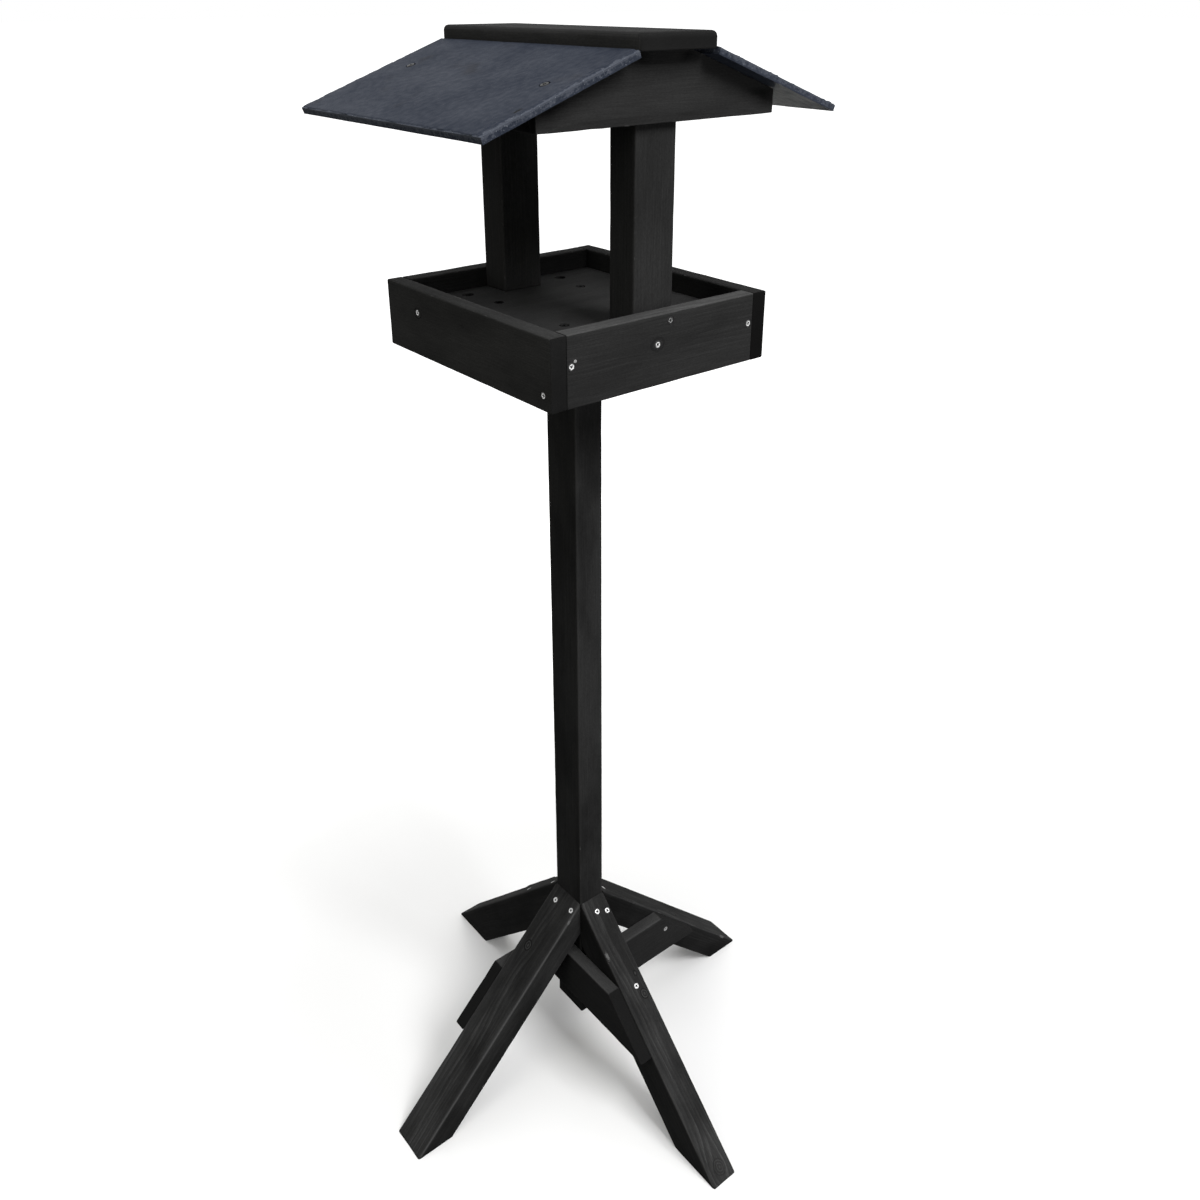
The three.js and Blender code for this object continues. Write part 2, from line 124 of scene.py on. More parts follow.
class Graph:
    """Adds nodes to a shader tree and wires them."""

    def __init__(self, tree: bpy.types.NodeTree) -> None:
        """Works on the given tree."""
        self.tree = tree

    def feed(self, socket: bpy.types.NodeSocket, value: object) -> None:
        """Links a socket, or sets its constant.

        Args:
            socket: The input to feed.
            value: Another node's output, or the constant.
        """
        if isinstance(value, bpy.types.NodeSocket):
            self.tree.links.new(value, socket)
        else:
            socket.default_value = value

    def node(self, kind: str, feeds: dict[str, object] | None = None, **settings: object) -> bpy.types.Node:
        """Adds a node.

        Args:
            kind: The node's Blender type.
            feeds: What goes into its sockets, by name.
            **settings: Its properties.

        Returns:
            The new node.
        """
        made = self.tree.nodes.new(kind)
        for name, value in settings.items():
            setattr(made, name, value)
        for name, value in (feeds or {}).items():
            self.feed(made.inputs[name], value)
        return made

    def operate(self, kind: str, operation: str, values: Sequence[object]) -> bpy.types.Node:
        """Adds a node of one operation.

        Args:
            kind: The node's Blender type.
            operation: What it does.
            values: What goes into its sockets, in order.

        Returns:
            The new node.
        """
        made = self.node(kind, operation=operation)
        for socket, value in zip(made.inputs, values):
            self.feed(socket, value)
        return made

    def math(self, operation: str, *values: object) -> bpy.types.NodeSocket:
        """Adds a Math node and returns its result."""
        return self.operate("ShaderNodeMath", operation, values).outputs[0]

    def plus(self, *values: object) -> bpy.types.NodeSocket:
        """Adds values up, from the first to the last."""
        return functools.reduce(functools.partial(self.math, "ADD"), values)

    def minus(self, value: object, less: object) -> bpy.types.NodeSocket:
        """Takes one value from another."""
        return self.math("SUBTRACT", value, less)

    def times(self, *values: object) -> bpy.types.NodeSocket:
        """Multiplies values, from the first to the last."""
        return functools.reduce(functools.partial(self.math, "MULTIPLY"), values)

    def swing(self, value: bpy.types.NodeSocket, *by: object) -> bpy.types.NodeSocket:
        """Centres a value between 0 and 1 on zero, and multiplies it."""
        return self.times(self.minus(value, 0.5), *by)

    def vector(self, operation: str, *values: object) -> bpy.types.Node:
        """Adds a Vector Math node and returns it."""
        return self.operate("ShaderNodeVectorMath", operation, values)

    def scaled(self, vector: bpy.types.NodeSocket, by: Sequence[float]) -> bpy.types.NodeSocket:
        """Multiplies a vector's parts."""
        return self.vector("MULTIPLY", vector, tuple(by)).outputs["Vector"]

    def length(self, vector: bpy.types.NodeSocket) -> bpy.types.NodeSocket:
        """Measures a vector."""
        return self.vector("LENGTH", vector).outputs["Value"]

    def parts(self, vector: bpy.types.NodeSocket) -> bpy.types.NodeOutputs:
        """Takes a vector apart into X, Y and Z."""
        return self.node("ShaderNodeSeparateXYZ", {"Vector": vector}).outputs

    def attribute(self, name: str) -> bpy.types.NodeSocket:
        """Reads a number that is kept on the mesh."""
        return self.node("ShaderNodeAttribute", attribute_name=name).outputs["Fac"]

    def noise(self, vector: bpy.types.NodeSocket, scale: float, detail: float = 2.0,
              roughness: float = 0.5) -> bpy.types.NodeSocket:
        """Adds a noise texture and returns its factor."""
        feeds = {"Vector": vector, "Scale": scale, "Detail": detail, "Roughness": roughness}
        return self.node("ShaderNodeTexNoise", feeds).outputs[0]

    def ramp(self, value: bpy.types.NodeSocket, low: object, high: object, to_low: object = 0.0,
             to_high: object = 1.0, smooth: bool = True) -> bpy.types.NodeSocket:
        """Maps a value from one range to another.

        Args:
            value: The value to map.
            low: Where it starts.
            high: Where it ends.
            to_low: The result at the start.
            to_high: The result at the end.
            smooth: Whether the result eases in and out.

        Returns:
            The mapped value, held to its range.
        """
        made = self.node("ShaderNodeMapRange", interpolation_type="SMOOTHSTEP" if smooth else "LINEAR")
        for socket, part in zip(made.inputs, (value, low, high, to_low, to_high)):
            self.feed(socket, part)
        return made.outputs[0]

    def between(self, value: bpy.types.NodeSocket, low: float, high: float) -> bpy.types.NodeSocket:
        """Maps a value from 0 to 1 evenly onto another range."""
        return self.ramp(value, 0.0, 1.0, low, high, smooth=False)

    def blend(self, factor: object, a: object, b: object) -> bpy.types.NodeSocket:
        """Mixes two colours.

        Args:
            factor: The share of the second colour.
            a: The first colour.
            b: The second colour.

        Returns:
            The mixed colour.
        """
        made = self.node("ShaderNodeMix", data_type="RGBA")
        for index, value in ((0, factor), (6, a), (7, b)):
            self.feed(made.inputs[index], value)
        return made.outputs[2]

    def group(self, tree: bpy.types.NodeTree, feeds: dict[str, object]) -> bpy.types.Node:
        """Places a node group with its own values."""
        return self.node("ShaderNodeGroup", feeds, node_tree=tree)

    def relief(self, shader: bpy.types.Node, height: object, strength: float, depth: float) -> None:
        """Gives a shader a relief, whose depth is in metres."""
        bump = self.node("ShaderNodeBump", {"Height": height, "Strength": strength, "Distance": depth})
        self.feed(shader.inputs["Normal"], bump.outputs["Normal"])


def new_group(name: str, inputs: dict[str, object],
              outputs: Iterable[str]) -> tuple[Graph, dict[str, bpy.types.NodeSocket], bpy.types.Node]:
    """Starts a node group.

    Args:
        name: The group's name.
        inputs: Its inputs and their defaults; a default of three numbers makes a vector.
        outputs: Its outputs, all plain values.

    Returns:
        The graph, its input sockets by name and its output node.
    """
    tree = bpy.data.node_groups.new(name, "ShaderNodeTree")
    for label, default in inputs.items():
        kind = "NodeSocketVector" if isinstance(default, tuple) else "NodeSocketFloat"
        made = tree.interface.new_socket(name=label, in_out="INPUT", socket_type=kind)
        made.default_value = default
    for label in outputs:
        tree.interface.new_socket(name=label, in_out="OUTPUT", socket_type="NodeSocketFloat")
    graph = Graph(tree)
    entry = graph.node("NodeGroupInput")
    return graph, {socket.name: socket for socket in entry.outputs}, graph.node("NodeGroupOutput")


@functools.cache
def grain_group() -> bpy.types.NodeTree:
    """Growth rings and fibres of sawn softwood, around a pith that may lie outside the piece.

    Returns:
        The group. Rings and Fibre run from 0 to 1.
    """
    inputs = {"Vector": ZERO, "Pith": ZERO, "Ring Spacing": 4.0, "Wander": 6.0, "Knot Push": 0.0}
    graph, given, out = new_group("softwood_grain", inputs, ("Rings", "Fibre"))
    place = graph.scaled(given["Vector"], IN_MILLIMETRES)
    shifted = graph.vector("ADD", place, graph.scaled(given["Pith"], (7.3, 1.0, 1.0))).outputs[0]
    parts = graph.parts(shifted)
    across = graph.minus(parts["Y"], given["Knot Push"])
    level = graph.node("ShaderNodeCombineXYZ", {"Y": across, "Z": parts["Z"]})
    radius = graph.length(level.outputs[0])
    for stretch, share in (((0.0035, 0.016, 0.016), 1.0), ((0.012, 0.06, 0.06), 0.3)):
        bend = graph.swing(graph.noise(graph.scaled(shifted, stretch), 1.0), given["Wander"], share)
        radius = graph.plus(radius, bend)
    fine = graph.swing(graph.noise(graph.scaled(shifted, (0.03, 0.3, 0.3)), 1.0), 0.9)
    rings = graph.math("DIVIDE", graph.plus(radius, fine), given["Ring Spacing"])
    share = graph.math("FRACT", rings)
    late = graph.times(graph.ramp(share, 0.15, 0.85), graph.ramp(share, 1.0, 0.88))
    year = graph.node("ShaderNodeTexWhiteNoise", {"W": graph.math("FLOOR", rings)},
                      noise_dimensions="1D").outputs["Value"]
    strength = graph.between(year, 0.2, 1.0)
    fading = graph.noise(graph.scaled(shifted, (0.008, 0.05, 0.05)), 1.0)
    strength = graph.times(strength, graph.ramp(fading, 0.35, 0.62, 0.25, 1.0))
    graph.feed(out.inputs["Rings"], graph.times(late, strength))
    fibre = graph.noise(graph.scaled(shifted, (0.025, 1.0, 1.0)), 1.0, 4.0, 0.62)
    graph.feed(out.inputs["Fibre"], graph.ramp(fibre, 0.3, 0.7))
    return graph.tree


@functools.cache
def knot_group() -> bpy.types.NodeTree:
    """A knot that goes through a piece along its own Z.

    Returns:
        The group: Push bends the rings around the knot, Core is 1 inside it, and Rings and Rim mark
        its own rings and its dark outline.
    """
    inputs = {"Vector": ZERO, "Centre": ZERO, "Radius": 6.0}
    graph, given, out = new_group("knot", inputs, ("Push", "Core", "Rings", "Rim"))
    place = graph.scaled(given["Vector"], FLAT_MILLIMETRES)
    apart = graph.vector("SUBTRACT", place, given["Centre"]).outputs[0]
    size = given["Radius"]
    parts = graph.parts(apart)
    wobble = graph.noise(graph.scaled(apart, (0.16, 0.16, 0)), 1.0, 1.0)
    stretched = graph.length(graph.scaled(apart, (0.8, 1.0, 0)))
    distance = graph.plus(stretched, graph.swing(wobble, 3.0))
    near = graph.math("DIVIDE", graph.length(graph.scaled(apart, (0.34, 0.55, 0))), size)
    fall = graph.math("EXPONENT", graph.times(near, near, -1.0))
    graph.feed(out.inputs["Push"], graph.times(parts["Y"], 0.85, fall))
    ratio = graph.math("DIVIDE", distance, size)
    core = graph.ramp(ratio, 1.0, 0.86)
    graph.feed(out.inputs["Core"], core)
    wave = graph.math("SINE", graph.times(distance, 2.1))
    graph.feed(out.inputs["Rings"], graph.times(graph.ramp(wave, -0.2, 1.0), core))
    rim = graph.times(graph.ramp(ratio, 0.80, 0.93), graph.ramp(ratio, 1.14, 1.0))
    graph.feed(out.inputs["Rim"], rim)
    return graph.tree


@functools.cache
def wear_group() -> bpy.types.NodeTree:
    """Finish rubbed or broken off along edges, in patches.

    Returns:
        The group. Mask is 1 where the edge is bare.
    """
    inputs = {"Vector": ZERO, "Nearness": 0.0, "Amount": 0.5, "Patch Size": 14.0}
    graph, given, out = new_group("edge_wear", inputs, ("Mask",))
    scale = graph.math("DIVIDE", MILLIMETRES, given["Patch Size"])
    patches = graph.noise(given["Vector"], scale, 5.0, 0.65)
    lifted = graph.plus(given["Nearness"], graph.swing(patches, 1.6))
    start = graph.minus(1.15, given["Amount"])
    shown = graph.ramp(lifted, start, graph.plus(start, 0.28))
    graph.feed(out.inputs["Mask"], graph.times(shown, graph.ramp(given["Nearness"], 0.02, 0.3)))
    return graph.tree


@functools.cache
def bruise_group() -> bpy.types.NodeTree:
    """A small patch drawn out along the piece, for knocked places, painted highlights and pits' painted
    shade.

    Returns:
        The group. Mask is 1 inside the patch.
    """
    inputs = {"Vector": ZERO, "Centre": ZERO, "Radius": 2.0}
    graph, given, out = new_group("bruise", inputs, ("Mask",))
    place = graph.scaled(given["Vector"], IN_MILLIMETRES)
    apart = graph.vector("SUBTRACT", place, given["Centre"]).outputs[0]
    ragged = graph.swing(graph.noise(apart, 0.7, 3.0), 1.4)
    far = graph.length(graph.scaled(apart, (0.35, 1.0, 1.0)))
    ratio = graph.plus(graph.math("DIVIDE", far, given["Radius"]), ragged)
    graph.feed(out.inputs["Mask"], graph.ramp(ratio, 1.1, 0.75))
    return graph.tree


@functools.cache
def blotch_group() -> bpy.types.NodeTree:
    """Cloudy unevenness in a stain, a stone or a coating.

    Returns:
        The group. Cloud and Speck run from 0 to 1.
    """
    inputs = {"Vector": ZERO, "Cloud Size": 60.0, "Speck Size": 2.0}
    graph, given, out = new_group("blotch", inputs, ("Cloud", "Speck"))
    for label, detail, low, high in (("Cloud", 4.0, 0.3, 0.7), ("Speck", 2.0, 0.62, 0.78)):
        scale = graph.math("DIVIDE", MILLIMETRES, given[f"{label} Size"])
        texture = graph.noise(given["Vector"], scale, detail)
        graph.feed(out.inputs[label], graph.ramp(texture, low, high))
    return graph.tree


def worn(graph: Graph, place: bpy.types.NodeSocket, near: bpy.types.NodeSocket, amount: float,
         patch_size: float) -> bpy.types.NodeSocket:
    """Adds worn edges.

    Args:
        graph: The material's graph.
        place: The piece's own coordinates.
        near: How near an edge is, from 0 to 1.
        amount: How much is worn.
        patch_size: The patches' size in millimetres.

    Returns:
        The wear group's mask.
    """
    feeds = {"Vector": place, "Nearness": near, "Amount": amount, "Patch Size": patch_size}
    return graph.group(wear_group(), feeds).outputs["Mask"]


def struck(graph: Graph, place: bpy.types.NodeSocket, mark: Mark) -> bpy.types.NodeSocket:
    """Adds one patch mask, as used for knocked places, painted highlights and pits' painted shade.

    Args:
        graph: The material's graph.
        place: The piece's own coordinates.
        mark: Its place on the piece and its radius, in millimetres.

    Returns:
        The spot group's mask.
    """
    feeds = {"Vector": place, "Centre": mark[:3], "Radius": mark[3]}
    return graph.group(bruise_group(), feeds).outputs["Mask"]


def blotches(graph: Graph, place: bpy.types.NodeSocket, clouds: float, specks: float) -> bpy.types.Node:
    """Places the blotch group, with its sizes in millimetres."""
    feeds = {"Vector": place, "Cloud Size": clouds, "Speck Size": specks}
    return graph.group(blotch_group(), feeds)


# Finishes


@dataclass
class Started:
    """A new material with its graph, its Principled node and the piece's own coordinates."""

    material: bpy.types.Material
    graph: Graph
    shader: bpy.types.Node
    place: bpy.types.NodeSocket


def start_material(name: str) -> Started:
    """Starts a material.

    Args:
        name: The material's name.

    Returns:
        The material and what is needed to go on with it.
    """
    material = bpy.data.materials.new(name)
    material.use_nodes = True
    graph = Graph(material.node_tree)
    principled = material.node_tree.nodes["Principled BSDF"]
    place = graph.node("ShaderNodeAttribute", attribute_name=OWN_PLACE).outputs["Vector"]
    return Started(material, graph, principled, place)


def grey(level: float) -> tuple[float, float, float, float]:
    """A neutral colour of a linear level."""
    return (level, level, level, 1.0)


@dataclass(frozen=True)
class Knot:
    """A knot's place along and across a piece, and its radius, in millimetres.

    `clarity` is how plainly its rings and outline show.
    """

    along: float
    across: float
    radius: float
    clarity: float = 1.0


@dataclass(frozen=True)
class StainedTimber:
    """Black-stained planed softwood.

    The tones are linear. `figure` says how much lighter the late wood is than the tone.
    `weathering` is painted light: how much lighter the faces that look up are drawn, standing
    in for light from above; below zero it is painted shade that draws them darker. `wear` is how
    much of the finish is off along the edges in patches, `rubbing` how bare the arrises are all along,
    and `cloudiness` how unevenly the stain took. `end_tone` is the cut ends' own tone.
    `bruises` are knocked places drawn as bare timber, and on leg_front painted
    highlights.
    """

    name: str
    pith: tuple[float, float, float] = (0.0, 60.0, 30.0)
    ring_spacing: float = 4.0
    wander: float = 8.0
    tone: float = 0.020
    figure: float = 1.3
    weathering: float = 0.3
    wear: float = 0.3
    rubbing: float = 0.12
    end_tone: float = 0.005
    cloudiness: float = 0.14
    knots: tuple[Knot, ...] = ()
    bruises: tuple[Mark, ...] = ()

    BARE_TONE = 0.095
    SPECULAR = 0.02
    RELIEF = 0.00025
    SMALLEST_RINGED = 2.0
    KNOT_TONES = (("Core", 0.5, 0.7), ("Rings", 0.9, 2.2), ("Rim", 0.9, 0.3))

    def knot_marks(self, graph: Graph, place: bpy.types.NodeSocket) -> dict[str, object]:
        """Adds the knots.

        Args:
            graph: The material's graph.
            place: The piece's own coordinates.

        Returns:
            The knot group's outputs, taken together over all the knots.
        """
        marks: dict[str, object] = {"Push": 0.0, "Core": 0.0, "Rings": 0.0, "Rim": 0.0}
        for knot in self.knots:
            feeds = {"Vector": place, "Centre": (knot.along, knot.across, 0.0), "Radius": knot.radius}
            made = graph.group(knot_group(), feeds)
            for label, value in marks.items():
                if label == "Rings" and knot.radius < self.SMALLEST_RINGED:
                    continue
                operation = "ADD" if label == "Push" else "MAXIMUM"
                mark = made.outputs[label]
                if label in ("Rings", "Rim"):
                    mark = graph.times(mark, knot.clarity)
                marks[label] = graph.math(operation, value, mark)
        return marks

    def worn_marks(self, graph: Graph,
                   place: bpy.types.NodeSocket) -> tuple[bpy.types.NodeSocket, bpy.types.NodeSocket]:
        """Adds the worn edges, the knocked places and the painted highlights.

        Args:
            graph: The material's graph.
            place: The piece's own coordinates.

        Returns:
            The worn patches, and all that is drawn bare, painted highlights among it.
        """
        near = graph.attribute("edge")
        wear = worn(graph, place, near, self.wear, 16.0)
        rubbed = graph.times(near, near, self.rubbing)
        bare = graph.math("MAXIMUM", graph.times(wear, 0.7), rubbed)
        # Knocked places drawn as bare timber; leg_front's marks are painted highlights.
        for mark in self.bruises:
            bare = graph.math("MAXIMUM", bare, struck(graph, place, mark))
        return wear, bare

    def material(self) -> bpy.types.Material:
        """Builds the finish.

        Returns:
            The material.
        """
        made = start_material(self.name)
        graph, shader, place = made.graph, made.shader, made.place
        marks = self.knot_marks(graph, place)
        grain = graph.group(grain_group(), {"Vector": place, "Pith": self.pith, "Knot Push": marks["Push"],
                                            "Ring Spacing": self.ring_spacing, "Wander": self.wander})
        blotch = blotches(graph, graph.scaled(place, (0.4, 1, 1)), 40.0, 3.0)
        rings, fibre = grain.outputs["Rings"], grain.outputs["Fibre"]
        light = graph.times(rings, graph.between(fibre, 0.55, 1.0))
        light = graph.times(light, graph.minus(1.0, marks["Core"]))
        # Painted top light: the late wood's figure shows at full strength on faces that look up and at under
        # half strength on upright faces.
        upward = graph.attribute("upward")
        light = graph.times(light, graph.ramp(upward, 0.0, 0.6, 0.45, 1.0))
        base = graph.blend(light, grey(self.tone), grey(self.tone * self.figure))
        for label, share, level in self.KNOT_TONES:
            base = graph.blend(graph.times(marks[label], share), base, grey(self.tone * level))
        cloud = graph.between(blotch.outputs["Cloud"], 1.0 - self.cloudiness, 1.0 + 0.85 * self.cloudiness)
        streak = graph.between(fibre, 0.86, 1.12)
        # Painted top light: faces that look up are drawn lighter by this share, and darker where it is below
        # zero.
        top_lit = graph.ramp(upward, 0.2, 1.0, 1.0, 1.0 + self.weathering, smooth=False)
        pores = graph.noise(graph.scaled(place, (350, 1100, 1100)), 1.0, 3.0, 0.7)
        pores = graph.ramp(pores, 0.3, 0.7, 0.8, 1.2, smooth=False)
        share = graph.times(graph.times(cloud, streak), graph.times(top_lit, pores))
        uneven = graph.node("ShaderNodeVectorMath", {"Scale": share}, operation="SCALE")
        graph.feed(uneven.inputs[0], base)
        ends = graph.times(graph.attribute("end_grain"), 0.8)
        base = graph.blend(ends, uneven.outputs[0], grey(self.end_tone))
        wear, bare = self.worn_marks(graph, place)
        # The bare timber tone also serves as painted highlight on leg_front's bright marks.
        graph.feed(shader.inputs["Base Color"], graph.blend(bare, base, grey(self.BARE_TONE)))
        rough = graph.between(light, 0.70, 0.60)
        graph.feed(shader.inputs["Roughness"], graph.plus(rough, graph.times(wear, 0.1)))
        shader.inputs["Specular IOR Level"].default_value = self.SPECULAR
        height = graph.plus(graph.times(rings, 0.5), graph.times(fibre, 0.5))
        height = graph.minus(height, graph.times(marks["Rim"], 0.6))
        graph.relief(shader, height, 0.4, self.RELIEF)
        return made.material


@dataclass(frozen=True)
class RivenSlate:
    """Natural blue-grey roofing slate with paler broken edges.

    The colours are linear: `tone` to `pale` is the face's own range, `stained` its dull patches,
    `chipped` its broken edges and scratches, and `fleck` its bright grains and painted glints,
    which lie thicker near the broken edges. `gouges` are places and radii of pits drawn as painted
    shade: near-black patches with no hollow.
    """

    name: str
    tone: tuple[float, float, float] = (0.0165, 0.0205, 0.0310)
    pale: tuple[float, float, float] = (0.0330, 0.0380, 0.0510)
    stained: tuple[float, float, float] = (0.0165, 0.0165, 0.0195)
    chipped: tuple[float, float, float] = (0.066, 0.073, 0.091)
    fleck: tuple[float, float, float] = (0.24, 0.26, 0.29)
    gouges: tuple[Mark, ...] = ()

    SPECULAR = 0.03
    GOUGE_TONE = 0.004
    RELIEF = 0.0011

    def material(self) -> bpy.types.Material:
        """Builds the finish.

        Returns:
            The material.
        """
        made = start_material(self.name)
        graph, shader, place = made.graph, made.shader, made.place
        fine = blotches(graph, place, 7.0, 1.4)
        broad = blotches(graph, place, 60.0, 42.0)
        small, large = fine.outputs["Cloud"], broad.outputs["Cloud"]
        cloud = graph.plus(graph.times(small, 0.45), graph.times(large, 0.55))
        base = graph.blend(cloud, (*self.tone, 1.0), (*self.pale, 1.0))
        base = graph.blend(graph.times(broad.outputs["Speck"], 0.5), base, (*self.stained, 1.0))
        scratches = graph.ramp(graph.noise(graph.scaled(place, (900, 90, 0)), 1.0, 2.0), 0.64, 0.72)
        scratches = graph.times(scratches, graph.ramp(large, 0.4, 1.0), 0.2)
        base = graph.blend(scratches, base, (*self.chipped, 1.0))
        near = graph.attribute("chip")
        chip = graph.times(worn(graph, place, near, 0.7, 4.0), 0.8)
        base = graph.blend(chip, base, (*self.chipped, 1.0))
        # Painted shade: each pit is a near-black patch; no hollow is cut.
        for mark in self.gouges:
            base = graph.blend(struck(graph, place, mark), base, grey(self.GOUGE_TONE))
        # Light flecks over the face, and painted glints that lie thicker near the broken edges.
        lifted = graph.plus(graph.times(near, 0.7), 0.16)
        speck = graph.times(fine.outputs["Speck"], lifted)
        graph.feed(shader.inputs["Base Color"], graph.blend(speck, base, (*self.fleck, 1.0)))
        graph.feed(shader.inputs["Roughness"], graph.between(cloud, 0.62, 0.5))
        shader.inputs["Specular IOR Level"].default_value = self.SPECULAR
        graph.relief(shader, graph.noise(place, 70.0, 6.0, 0.65), 0.5, self.RELIEF)
        return made.material


@dataclass(frozen=True)
class ScrewMetal:
    """Screw heads: zinc or black coated, with dirt in the recess and stain over the rim.

    The stain starts at `clear_radius`, in millimetres; `stain` is how dark it lies outside, and
    `smear` how much of it lies inside. `dirt_tone` is its own tone.
    """

    name: str
    tone: float
    metallic: float
    roughness: float
    clear_radius: float = 4.0
    stain: float = 0.0
    smear: float = 0.0
    specular: float = 0.5
    dirt_tone: float = 0.012

    RELIEF = 0.0001

    def material(self) -> bpy.types.Material:
        """Builds the finish.

        Returns:
            The material.
        """
        made = start_material(self.name)
        graph, shader, place = made.graph, made.shader, made.place
        blotch = blotches(graph, place, 2.6, 0.6)
        cloud = blotch.outputs["Cloud"]
        depth = graph.parts(place)["Z"]
        sunk = graph.times(graph.ramp(depth, -0.00015, -0.0005), 0.95)
        flat = graph.length(graph.scaled(place, FLAT_MILLIMETRES))
        ragged = graph.plus(flat, graph.times(cloud, 0.7))
        start = self.clear_radius + 0.35
        over = graph.times(graph.ramp(ragged, start - 0.25, start + 0.25), self.stain)
        smear = graph.ramp(cloud, 0.2, 0.8, self.smear * 0.6, self.smear, smooth=False)
        speck = graph.times(blotch.outputs["Speck"], 0.4)
        dirt = graph.math("MAXIMUM", graph.math("MAXIMUM", sunk, over), graph.math("MAXIMUM", smear, speck))
        graph.feed(shader.inputs["Base Color"], graph.blend(dirt, grey(self.tone), grey(self.dirt_tone)))
        graph.feed(shader.inputs["Metallic"], graph.times(graph.minus(1.0, dirt), self.metallic))
        rough = graph.plus(self.roughness, graph.times(cloud, 0.12))
        graph.feed(shader.inputs["Roughness"], graph.plus(rough, graph.times(dirt, 0.3)))
        shader.inputs["Specular IOR Level"].default_value = self.specular
        graph.relief(shader, cloud, 0.3, self.RELIEF)
        return made.material


@functools.cache
def finished(finish: object) -> bpy.types.Material:
    """The one material of a finish."""
    return finish.material()


ZINC = ScrewMetal("zinc", 0.58, 1.0, 0.34, 3.1, 0.9, specular=0.1)
STAINED_ZINC = ScrewMetal("stained_zinc", 0.92, 1.0, 0.40, 2.6, 0.97, 0.12, specular=0.1)
SMEARED_ZINC = ScrewMetal("smeared_zinc", 0.6, 1.0, 0.4, 2.2, 0.98, 0.7, specular=0.1)
BLACK_COAT = ScrewMetal("black_coat", 0.001, 0.0, 0.35, specular=0.008, dirt_tone=0.001)
BLUED_STEEL = ScrewMetal("blued_steel", 0.014, 0.0, 0.26, specular=0.11, dirt_tone=0.002)


# Meshes


def ring_points(half_width: float, half_height: float, arris: float, inset: float,
                support: float, step: float) -> list[Vector]:
    """Points round a rectangle with rounded corners, closer together next to the corners.

    Args:
        half_width: Half the size along Y.
        half_height: Half the size along Z.
        arris: Corner radius.
        inset: How far the whole ring is drawn in.
        support: Distance from a corner's curve to the first point on the flat.
        step: Longest distance between points on a flat.

    Returns:
        The points, as vectors with X at zero.
    """
    points: list[Vector] = []
    corners = ((1, 1, 0), (-1, 1, 1), (-1, -1, 2), (1, -1, 3))
    width, height = half_width - arris, half_height - arris
    reach = max(arris - inset, 0.05)
    lost = inset - (arris - reach)
    for across, up, quarter in corners:
        centre = Vector((0, across * (width - lost), up * (height - lost)))
        for part in range(Bar.ARRIS_STEPS + 1):
            angle = (quarter + part / Bar.ARRIS_STEPS) * math.pi / 2
            points.append(centre + Vector((0, math.cos(angle), math.sin(angle))) * reach)
        flat = width if quarter % 2 == 0 else height
        inner = 2 * flat - 2 * support
        count = max(1, round(inner / step))
        shares = [support / (2 * flat) + inner * part / (count * 2 * flat) for part in range(count + 1)]
        following = corners[(quarter + 1) % 4]
        last = points[-1]
        centre = Vector((0, following[0] * (width - lost), following[1] * (height - lost)))
        angle = (quarter + 1) * math.pi / 2
        nearest = centre + Vector((0, math.cos(angle), math.sin(angle))) * reach
        points.extend(last.lerp(nearest, share) for share in shares)
    return points


@dataclass(frozen=True)
class Bar:
    """A length of timber along X, with rounded arrises and ends that may be cut on the slope.

    An end's slope is how far it moves along X for each millimetre up Z.
    """

    half_width: float
    half_height: float
    start: float
    end: float
    arris: float = 2.5
    start_slope: float = 0.0
    end_slope: float = 0.0
    end_round: float = 0.7
    step: float = 14.0

    ARRIS_STEPS = 4
    SUPPORT = 3.5
    END_CLEAR = 1.0
    END_FADE = 4.0

    def edge_distance(self, point: Vector) -> float:
        """How far a surface point is from the nearest edge.

        Args:
            point: The point, in millimetres.

        Returns:
            The distance in millimetres.
        """
        start = (point.x - self.start - self.start_slope * point.z) / math.hypot(1, self.start_slope)
        end = (self.end + self.end_slope * point.z - point.x) / math.hypot(1, self.end_slope)
        sides = (self.half_width - abs(point.y), self.half_height - abs(point.z), start, end)
        return sorted(sides)[1]

    def bareness(self, point: Vector, reach: float) -> float:
        """How exposed a surface point is to rubbing: 1 on a long arris, 0 on the cut ends.

        Args:
            point: The point, in millimetres.
            reach: How far from the arris it fades out.

        Returns:
            From 0 to 1.
        """
        from_arris = max(self.half_width - abs(point.y), self.half_height - abs(point.z))
        from_start = point.x - self.start - self.start_slope * point.z
        from_end = self.end + self.end_slope * point.z - point.x
        inside = min(1.0, max(0.0, min(from_start, from_end) - self.END_CLEAR) / self.END_FADE)
        return max(0.0, 1 - from_arris / reach) * inside

    def build(self) -> bmesh.types.BMesh:
        """Makes the closed mesh.

        Returns:
            The mesh, in millimetres.
        """
        flat = 2 * (min(self.half_width, self.half_height) - self.arris)
        support = min(self.SUPPORT, 0.3 * flat)
        ends = [(self.end_round + support, 0.0)]
        ends += [(self.end_round * inset, self.end_round * along) for inset, along in ROUNDING]
        ends += [(0.0, self.end_round + support)]
        length = self.end - self.start - 2 * (self.end_round + support)
        count = max(2, round(length / self.step))
        stations = [(inset, along, 0.0) for inset, along in ends]
        stations += [(0.0, self.end_round + support, part / count) for part in range(1, count)]
        stations += [(inset, along, 1.0) for inset, along in reversed(ends)]
        bm = bmesh.new()
        rings = []
        for inset, along, share in stations:
            ring = []
            points = ring_points(self.half_width, self.half_height, self.arris, inset, support, self.step)
            for point in points:
                low = self.start + self.start_slope * point.z + along
                high = self.end + self.end_slope * point.z - along
                ring.append(bm.verts.new((low + (high - low) * share, point.y, point.z)))
            rings.append(ring)
        skin(bm, rings)
        return bm


